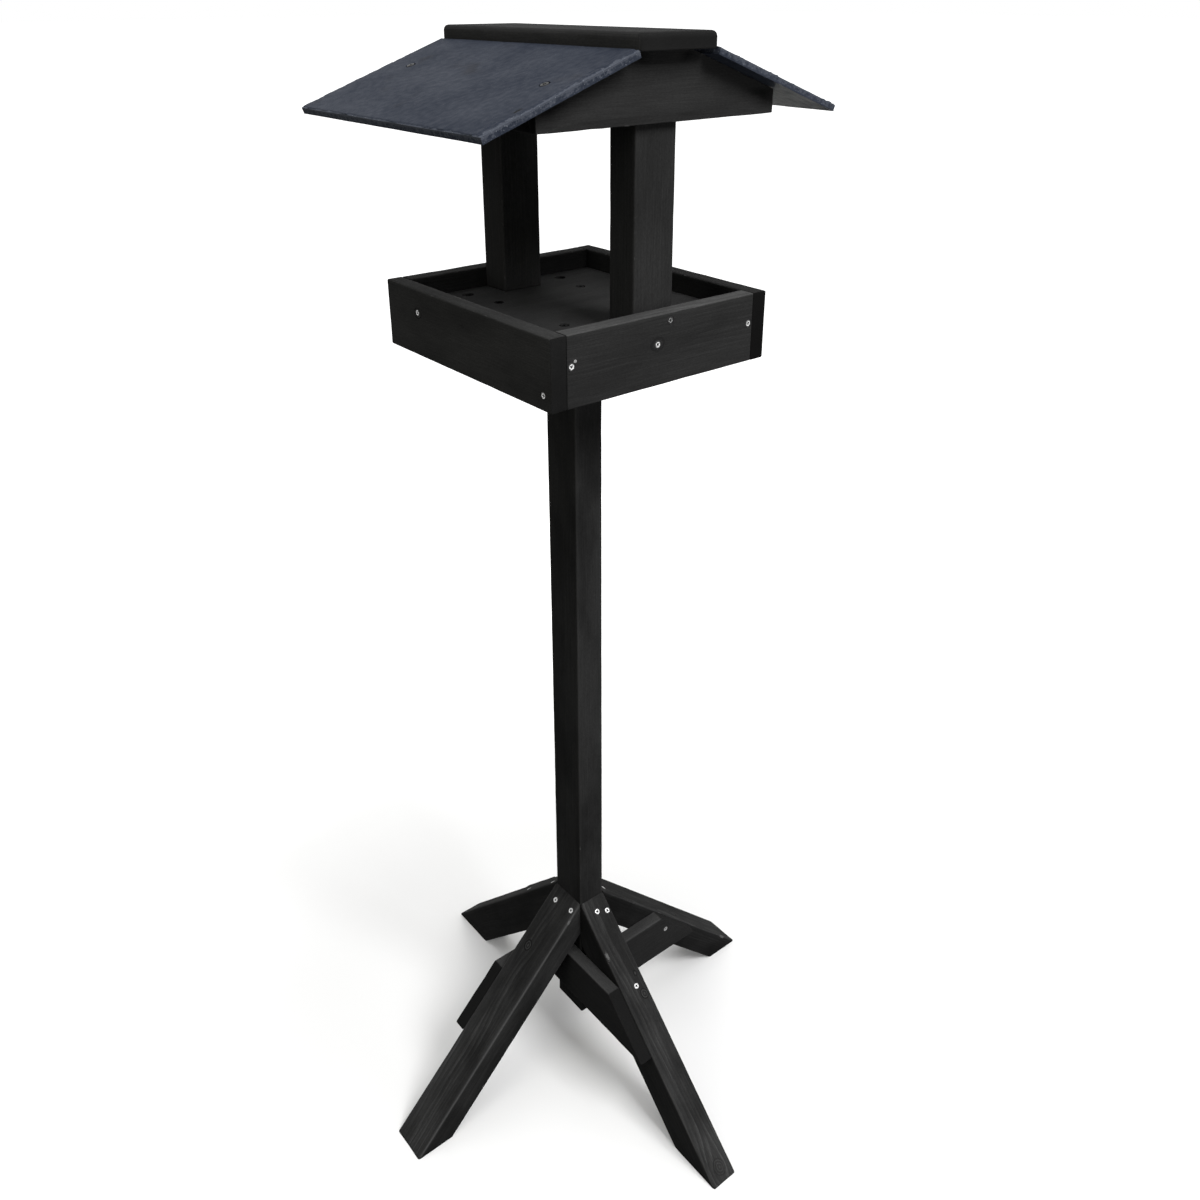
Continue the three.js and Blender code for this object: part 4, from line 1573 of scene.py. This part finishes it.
@dataclass
class Tray:
    """Open tray: four boards, a floor with drain holes, its bearers, and the two uprights.

    The places of screws and holes are shares of the sizes beside them in `screws` and
    `drain_holes`, or millimetres where no size stands there.
    """

    width: float = 272.0
    depth: float = 286.0
    board_thickness: float = 18.0
    board_height: float = 70.0
    rim_top: float = 1075.0
    floor_top: float = 1054.0
    floor_thickness: float = 12.0
    drain_diameter: float = 12.0
    bearer_width: float = 52.0
    upright_width: float = 49.0
    upright_depth: float = 37.0
    upright_top: float = 1305.0
    screw_length: float = 38.0
    short_screw_length: float = 29.0

    CORNER_SCREW_INSET = 5.52
    CORNER_SCREW_DROP = 0.25
    UPRIGHT_SCREW = (0.125, 13.02)
    FRONT_FLOOR_SCREW = (-0.08, 0.17)
    SIDE_FLOOR_SCREW = (0.2935, 0.25)
    END_SCREW = (0.65, 14.98)
    FLOOR_SCREW = (0.46, 1.08)
    DRAIN_PLACE = (0.525, 0.83)
    DRAIN_EASING = 0.6
    DRAIN_SIDES = 40
    PIN_PROFILE = ((0, -9.0), (0.6, -8.0), (0.75, -0.6), (1.7, -0.3), (1.7, 0.15), (1.3, 0.35), (0.7, 0.2),
                   (0, 0.1))
    PIN_SIDES = 20
    PIN_ACROSS = -108.4
    PIN_HEIGHT = 1049.5

    @property
    def floor_middle(self) -> float:
        """The height of the middle of the floor's thickness."""
        return self.floor_top - self.floor_thickness / 2

    @property
    def bottom(self) -> float:
        """The height of the boards' lower edge."""
        return self.rim_top - self.board_height

    @property
    def inner_half_width(self) -> float:
        """Half the room between the side boards."""
        return self.width / 2 - self.board_thickness

    @property
    def inner_half_depth(self) -> float:
        """Half the room between the end boards."""
        return self.depth / 2 - self.board_thickness

    def screws(self) -> list[Screw]:
        """All the tray's screws.

        Returns:
            Those through the boards in pairs half a turn apart, and those through the floor.
        """
        thick, middle = self.floor_thickness, self.floor_middle
        front, left = -self.depth / 2, -self.width / 2
        corner = self.inner_half_width - self.CORNER_SCREW_INSET
        corner_up = middle - self.CORNER_SCREW_DROP * thick
        across, rise = self.UPRIGHT_SCREW
        upright = (across * self.upright_width, front, self.floor_top + rise)
        across, drop = self.FRONT_FLOOR_SCREW
        front_floor = (across * self.inner_half_width, front, middle - drop * thick)
        along, rise = self.SIDE_FLOOR_SCREW
        side_floor = (left, along * self.depth, middle + rise * thick)
        along, rise = self.END_SCREW
        side_end = (left, -self.depth / 2 + along * self.board_thickness, self.bottom + rise)
        ends = (("corner_a", ScrewKind.STAINED, (-corner, front, corner_up)),
                ("corner_b", ScrewKind.STAINED, (corner, front, corner_up)),
                ("upright", ScrewKind.SMEARED, upright), ("floor", ScrewKind.STAINED, front_floor))
        sides = (("floor", ScrewKind.STAINED, side_floor), ("end", ScrewKind.STAINED, side_end))
        made = []
        for board, opposite, places, way in (("front", "rear", ends, Y), ("left", "right", sides, X)):
            for name, kind, point in places:
                made.append(Screw(f"tray_{board}_screw_{name}", point, tuple(way), self.screw_length, kind))
                if (board, name) != ("front", "floor"):
                    made.append(Screw(f"tray_{opposite}_screw_{name}", mate(point), tuple(-way),
                                      self.screw_length, kind))
        across, along = self.FLOOR_SCREW
        for side, x in SIDES:
            for end, y in ENDS:
                point = (x * across * self.inner_half_width, y * along * self.bearer_width, self.floor_top)
                made.append(Screw(f"floor_screw_{end}_{side}", point, tuple(-Z), self.short_screw_length,
                                  ScrewKind.BLACK, Screw.WIDE_HOLE))
        return made

    def drain_holes(self) -> list[bpy.types.Mesh]:
        """Cutters for the floor's drain holes, in the floor's frame.

        Returns:
            Four cutters.
        """
        made = []
        radius, top = self.drain_diameter / 2, self.floor_thickness / 2
        wide, beyond = radius + self.DRAIN_EASING, top + 5
        profile = ((0, -beyond), (radius, -beyond), (radius, top - self.DRAIN_EASING), (wide, top),
                   (wide, beyond), (0, beyond))
        across, along = self.DRAIN_PLACE
        for x in (-1, 1):
            for y in (-1, 1):
                bm = lathe(profile, self.DRAIN_SIDES)
                place = Vector((x * across * self.inner_half_width, y * along * self.inner_half_depth, 0))
                bmesh.ops.translate(bm, vec=place, verts=bm.verts)
                made.append(to_mesh(bm, "drain"))
        return made

    def build(self, shop: Workshop) -> None:
        """Builds and dresses the tray and the uprights.

        Args:
            shop: Where the pieces are made.
        """
        shop.screws = self.screws()
        self.build_boards(shop)
        room, height = self.inner_half_width, self.floor_top - self.floor_thickness - self.bottom
        for end, side in ENDS:
            shape = Bar(self.bearer_width / 2, height / 2, -room, room, step=20.0)
            place = axes(X, Y, Z, (0, side * self.bearer_width, self.bottom + height / 2))
            finish = StainedTimber(f"bearer_{end}_stain", (17.0 * side, 40.0, 26.0), 4.0, 12.0)
            shop.timber(f"bearer_{end}", shape, place, Slot.TIMBER, finish)
        shape = Bar(self.inner_half_depth, self.floor_thickness / 2, -room, room, arris=0.5, end_round=0.4)
        finish = StainedTimber("floor_stain", (9.0, 31.0, 310.0), 9.0, 26.0, tone=0.027,
                               figure=1.04, weathering=0.0, wear=0.1)
        place = axes(X, Y, Z, (0, 0, self.floor_middle))
        shop.timber("tray_floor", shape, place, Slot.PLY, finish, self.drain_holes())
        for end, side in ENDS:
            shape = Bar(self.upright_width / 2, self.upright_depth / 2, self.floor_top, self.upright_top)
            place = axes(Z, X, Y, (0, side * (self.inner_half_depth - self.upright_depth / 2), 0))
            finish = StainedTimber(f"upright_{end}_stain", (29.0 * side, 55.0, 38.0), 3.4, 14.0)
            shop.timber(f"upright_{end}", shape, place, Slot.TIMBER, finish)
        for screw in shop.screws:
            shop.screw(screw)
        self.build_pin(shop)

    def build_boards(self, shop: Workshop) -> None:
        """Builds the side boards, full depth, and the end boards between them.

        Args:
            shop: Where the pieces are made.
        """
        middle = self.bottom + self.board_height / 2
        screw_high = self.floor_middle - middle
        half, high = self.board_thickness / 2, self.board_height / 2
        knot_along = self.SIDE_FLOOR_SCREW[0] * self.depth
        # Painted shade: the right board's darker tone stands in for the shade on its inner face. Both side
        # boards get a little painted top light.
        for (name, side), pith, tone, end_tone in zip(SIDES, (61.0, 88.0), (0.0300, 0.012), (0.005, 0.003)):
            shape = Bar(high, half, -self.depth / 2, self.depth / 2, arris=1.5)
            place = axes(Y, Z, X, (side * (self.width / 2 - half), 0, middle))
            knots = (Knot(-side * knot_along, screw_high + 2.2, 5.2), Knot(side * 1.0, 15.0, 1.7))
            finish = StainedTimber(f"tray_{name}_stain", (pith, pith - 30, 22.0), 3.0, 10.0, tone=tone,
                                   end_tone=end_tone, figure=1.12, weathering=0.1, cloudiness=0.26,
                                   knots=knots)
            shop.timber(f"tray_{name}", shape, place, Slot.BOARD, finish)
        knot_along = self.FRONT_FLOOR_SCREW[0] * self.inner_half_width
        knots = (Knot(-20.0, -60.0, 6.0), Knot(knot_along, screw_high - 1.6, 6.8, 0.45))
        # Painted light and shade: the front board's strong top light lightens its rim, and the rear board's
        # darker tone stands in for the shade under the roof.
        for (name, side), pith, tone, weathering in zip(ENDS, (47.0, 93.0), (0.020, 0.0125), (1.75, 0.5)):
            shape = Bar(high, half, -self.inner_half_width, self.inner_half_width, arris=1.5)
            place = axes(X, Z, -Y, (0, side * (self.depth / 2 - half), middle))
            finish = StainedTimber(f"tray_{name}_stain", (pith, pith, 30.0), 3.6, 16.0, tone=tone,
                                   figure=1.75, weathering=weathering, knots=knots)
            shop.timber(f"tray_{name}", shape, place, Slot.BOARD, finish)

    def build_pin(self, shop: Workshop) -> None:
        """Builds the small pin beside the front board's left corner screw.

        Args:
            shop: Where the pieces are made.
        """
        mesh = to_mesh(lathe(self.PIN_PROFILE, self.PIN_SIDES), "front_pin")
        place = axes(X, Z, -Y, (self.PIN_ACROSS, -self.depth / 2, self.PIN_HEIGHT))
        shop.set_in_place(mesh, "front_pin", place, Slot.ZINC, SMEARED_ZINC, replaces=False)


@dataclass
class Roof:
    """Gables, rafters, two slates and the ridge cap.

    A slate's screws have the sign of their end, and lie at a share of the slope and of the rafter
    under it.
    """

    gable_half: float = 139.5
    gable_end_height: float = 21.7
    gable_thickness: float = 9.0
    flat_top_half: float = 30.5
    rafter_thickness: float = 22.0
    rafter_inner: float = 24.5
    inner_half_depth: float = 125.0
    pitch: float = math.radians(19.6)
    eave_half: float = 204.0
    slate_depth: float = 309.0
    slate_thickness: float = 7.4
    cap_width: float = 92.0
    cap_depth: float = 307.0
    cap_bottom: float = 1305.0
    cap_thickness: float = 15.0
    touch_gap: float = 0.3
    slate_screw_length: float = 24.0

    SLATE_SCREWS = (("a", 1, 0.38, 0.48), ("b", -1, 0.45, 0.75))
    # Pits drawn as painted shade on each slate.
    SLATE_GOUGES = {"left": ((124.4, 144.5, 6.5, 2.0),), "right": ((60.0, -30.0, 6.5, 1.2),)}

    @property
    def gable_bottom(self) -> float:
        """The height of the gables' lower edge."""
        rise = (self.gable_half - self.flat_top_half) * math.tan(self.pitch)
        return self.cap_bottom - self.gable_end_height - rise

    def line(self, out: float) -> float:
        """The height of the roof line at a distance from the ridge."""
        return self.gable_bottom + self.gable_end_height + (self.gable_half - out) * math.tan(self.pitch)

    @property
    def slate_inner(self) -> float:
        """Where a slate's underside starts, clear of the cap.

        Returns:
            Its distance from the ridge, in millimetres.
        """
        slope = math.tan(self.pitch)
        above = self.line(0) - self.cap_bottom
        return (self.cap_width / 2 + self.touch_gap + slope * above) / (1 + slope * slope)

    def screws(self, side: int) -> list[Screw]:
        """The two screws of one slate.

        Args:
            side: 1 for the right slate and -1 for the left.

        Returns:
            The screws.
        """
        normal = Vector((math.sin(self.pitch), 0, math.cos(self.pitch)))
        above = self.slate_thickness + self.touch_gap
        word = "right" if side > 0 else "left"
        made = []
        for name, end, slope, rafter in self.SLATE_SCREWS:
            out = self.slate_inner + slope * (self.eave_half - self.slate_inner)
            along = self.inner_half_depth - self.rafter_thickness * (1 - rafter)
            point = Vector((out, -end * along, self.line(out))) + normal * above
            made.append(Screw(f"slate_{word}_screw_{name}", tuple(point) if side > 0 else mate(point),
                              (-side * normal.x, 0.0, -normal.z), self.slate_screw_length,
                              ScrewKind.BLUED, Screw.WIDE_HOLE))
        return made

    def build(self, shop: Workshop) -> None:
        """Builds and dresses the roof.

        Args:
            shop: Where the pieces are made.
        """
        shop.screws = []
        high, low = self.line(self.gable_half), self.gable_bottom
        outline = ((-self.gable_half, low), (self.gable_half, low), (self.gable_half, high),
                   (self.flat_top_half, self.cap_bottom), (-self.flat_top_half, self.cap_bottom),
                   (-self.gable_half, high))
        shape = Slab(tuple((x, y - low) for x, y in outline), self.gable_thickness)
        inner_faces = (-self.inner_half_depth, self.inner_half_depth + self.gable_thickness)
        for (end, _), inner in zip(ENDS, inner_faces):
            finish = StainedTimber(f"gable_{end}_stain", (inner * 0.1, 190.0, 24.0), 3.8, 9.0, figure=1.12,
                                   wear=0.25)
            shop.timber(f"gable_{end}", shape, axes(X, Z, -Y, (0, inner, low)), Slot.BOARD, finish)
        for word, side in SIDES:
            self.build_side(shop, word, side)
        half, across = self.cap_depth / 2, self.cap_width / 2
        cap = Slab(((-half, -across), (half, -across), (half, across), (-half, across)), self.cap_thickness,
                   edge_round=5.0, corner_round=5.5, foot_round=1.5)
        # Painted shade: a painted top light below zero draws the cap's top darker than its sides.
        finish = StainedTimber("cap_stain", (4.0, 25.0, 60.0), 4.0, 10.0, tone=0.028, figure=1.1,
                               weathering=-0.42, wear=0.12)
        shop.screws = []
        shop.timber("ridge_cap", cap, axes(Y, -X, Z, (0, 0, self.cap_bottom)), Slot.BOARD, finish)

    def build_side(self, shop: Workshop, word: str, side: int) -> None:
        """Builds the slate of one side, its screws and the rafters under it.

        Args:
            shop: Where the pieces are made.
            word: The side's word in the node names.
            side: 1 for the right and -1 for the left.
        """
        shop.screws = self.screws(side)
        inner, outer, low = self.rafter_inner, self.gable_half, self.gable_bottom
        points = [(inner, self.line(inner) - self.gable_end_height), (outer, low), (outer, self.line(outer)),
                  (self.flat_top_half, self.cap_bottom), (inner, self.cap_bottom)]
        outline = tuple((x * side, y - low) for x, y in (points if side > 0 else reversed(points)))
        shape = Slab(outline, self.rafter_thickness, 1.0, 1.0)
        rear_faces = (self.rafter_thickness - self.inner_half_depth, self.inner_half_depth)
        for (end, _), start in zip(ENDS, rear_faces):
            node = f"rafter_{end}_{word}"
            finish = StainedTimber(f"{node}_stain", (3.0 * side, 40.0, 44.0), 4.0, 9.0)
            shop.timber(node, shape, axes(X, Z, -Y, (0, start, low)), Slot.TIMBER, finish)
        width = (self.eave_half - self.slate_inner) / math.cos(self.pitch)
        sheet = SlateSheet(width, self.slate_depth, self.slate_thickness, front=-side, seed=3.0 * side)
        down = Vector((math.cos(self.pitch), 0, -math.sin(self.pitch)))
        up = Vector((math.sin(self.pitch), 0, math.cos(self.pitch)))
        origin = Vector((self.slate_inner, 0, self.line(self.slate_inner))) + up * self.touch_gap
        place = axes(down, Y, up, origin)
        if side < 0:
            place = Matrix.Rotation(math.pi, 4, "Z") @ place
        mesh = to_mesh(sheet.build(), f"slate_{word}")
        mesh = cut(mesh, shop.holes_in(mesh, place))
        finish = RivenSlate(f"{word}_slate", gouges=self.SLATE_GOUGES[word])
        shop.set_in_place(mesh, f"slate_{word}", place, Slot.SLATE, finish)
        for screw in shop.screws:
            shop.screw(screw)


@dataclass(frozen=True)
class Lamp:
    """A square lamp: its power in watts, and its size and place in metres."""

    name: str
    power: float
    size: float
    place: tuple[float, float, float]
    tint: tuple[float, float, float] = WHITE


@dataclass
class Studio:
    """Camera, pale floor, white surroundings and soft lamps.

    The floor's own glow rises from `near_glow` to `far_glow` between two distances from the table,
    so that it is white to the camera away from the shadow.
    """

    camera_place: tuple[float, float, float] = (-0.68807, -0.89195, 1.35097)
    yaw: float = -0.681186
    pitch: float = -0.424252
    roll: float = -0.00137
    lens: float = 33.1883
    sensor_width: float = 36.0
    shift: tuple[float, float] = (0.000576, -0.091408)
    floor_half: float = 60.0
    bounce_tone: float = 0.03
    camera_tone: float = 0.74
    near_glow: float = 0.125
    far_glow: float = 0.8
    glow_start: float = 0.35
    glow_end: float = 1.3
    mirrored_glow: float = 0.4
    ambient: float = 0.10
    lamp_aim: tuple[float, float, float] = (0.0, 0.0, 1.1)
    overhead_strength: float = 1.55
    overhead_angle: float = 60.0

    WARM = (1.0, 0.99, 0.9)
    LAMPS = (Lamp("key", 132.0, 1.5, (0.3, -2.49, 3.42)), Lamp("fill", 5.5, 0.7, (-1.5, -0.35, 1.5), WARM),
             Lamp("rear", 9.0, 0.9, (1.35, 1.6, 0.7), WARM), Lamp("low", 15.0, 1.0, (0.2, -2.2, 0.35)))

    def build(self) -> None:
        """Makes the camera, the floor, the surroundings and the lamps."""
        self.build_camera()
        self.build_floor()
        self.build_light()
        bpy.context.scene.view_settings.view_transform = "Standard"

    def build_camera(self) -> None:
        """Makes the camera at the photograph's viewing angle."""
        level = math.cos(self.pitch)
        forward = Vector((-math.sin(self.yaw) * level, math.cos(self.yaw) * level, math.sin(self.pitch)))
        right = Vector((math.cos(self.yaw), math.sin(self.yaw), 0))
        above = right.cross(forward)
        turned = right * math.cos(self.roll) + above * math.sin(self.roll)
        data = bpy.data.cameras.new("camera")
        data.lens, data.sensor_width = self.lens, self.sensor_width
        data.shift_x, data.shift_y = self.shift
        data.clip_start, data.clip_end = 0.05, 500.0
        camera = add_object("camera", data)
        placed = Matrix((turned, turned.cross(forward), -forward)).transposed().to_4x4()
        placed.translation = Vector(self.camera_place)
        camera.matrix_world = placed
        bpy.context.scene.camera = camera

    def build_floor(self) -> None:
        """Makes the floor, which keeps the table's shadow and shows white to the camera."""
        half = self.floor_half
        corners = [(-half, -half, 0), (half, -half, 0), (half, half, 0), (-half, half, 0)]
        mesh = bpy.data.meshes.new("floor")
        mesh.from_pydata(corners, [], [(0, 1, 2, 3)])
        floor = add_object("floor", mesh)
        made = start_material("pale_floor")
        graph, shader = made.graph, made.shader
        away = graph.length(graph.node("ShaderNodeTexCoord").outputs["Object"])
        glow = graph.ramp(away, self.glow_start, self.glow_end, self.near_glow, self.far_glow)
        path = graph.node("ShaderNodeLightPath")
        seen = path.outputs["Is Camera Ray"]
        base = graph.blend(seen, grey(self.bounce_tone), grey(self.camera_tone))
        graph.feed(shader.inputs["Base Color"], base)
        shader.inputs["Roughness"].default_value = 0.9
        shader.inputs["Specular IOR Level"].default_value = 0.0
        shader.inputs["Emission Color"].default_value = grey(1.0)
        mirrored = graph.math("MAXIMUM", path.outputs["Is Glossy Ray"], path.outputs["Is Transmission Ray"])
        glow = graph.plus(graph.times(seen, glow), graph.times(mirrored, self.mirrored_glow))
        graph.feed(shader.inputs["Emission Strength"], glow)
        mesh.materials.append(made.material)

    def build_light(self) -> None:
        """Makes the surroundings, white to the camera and in reflections, and the lamps."""
        world = bpy.data.worlds.new("studio")
        bpy.context.scene.world = world
        world.use_nodes = True
        graph = Graph(world.node_tree)
        background = world.node_tree.nodes["Background"]
        path = graph.node("ShaderNodeLightPath")
        mirrored = graph.math("MAXIMUM", path.outputs["Is Glossy Ray"], path.outputs["Is Transmission Ray"])
        seen = graph.math("MAXIMUM", path.outputs["Is Camera Ray"], mirrored)
        background.inputs["Color"].default_value = grey(1.0)
        graph.feed(background.inputs["Strength"], graph.between(seen, self.ambient, 1.0))
        for lamp in self.LAMPS:
            light = bpy.data.lights.new(lamp.name, "AREA")
            light.energy, light.size, light.color = lamp.power, lamp.size, lamp.tint
            self.set_light(light, Vector(lamp.place), Vector(lamp.place) - Vector(self.lamp_aim))
        overhead = bpy.data.lights.new("overhead", "SUN")
        overhead.energy, overhead.angle = self.overhead_strength, math.radians(self.overhead_angle)
        self.set_light(overhead, Z * 3, Z)

    def set_light(self, light: bpy.types.Light, place: Vector, away: Vector) -> None:
        """Sets a light in the scene.

        Args:
            light: The light.
            place: Where it hangs, in metres.
            away: The direction opposite to the one in which it shines.
        """
        made = add_object(light.name, light)
        made.visible_camera = False
        placed = away.to_track_quat("Z", "Y").to_matrix().to_4x4()
        placed.translation = place
        made.matrix_world = placed


def main() -> None:
    """Builds every sub-assembly and the studio."""
    logging.basicConfig(level=logging.INFO, format="%(message)s")
    shop = Workshop()
    Stand().build(shop)
    Tray().build(shop)
    Roof().build(shop)
    Studio().build()
    log.info("%d pieces", shop.made)


if __name__ == "__main__":
    main()
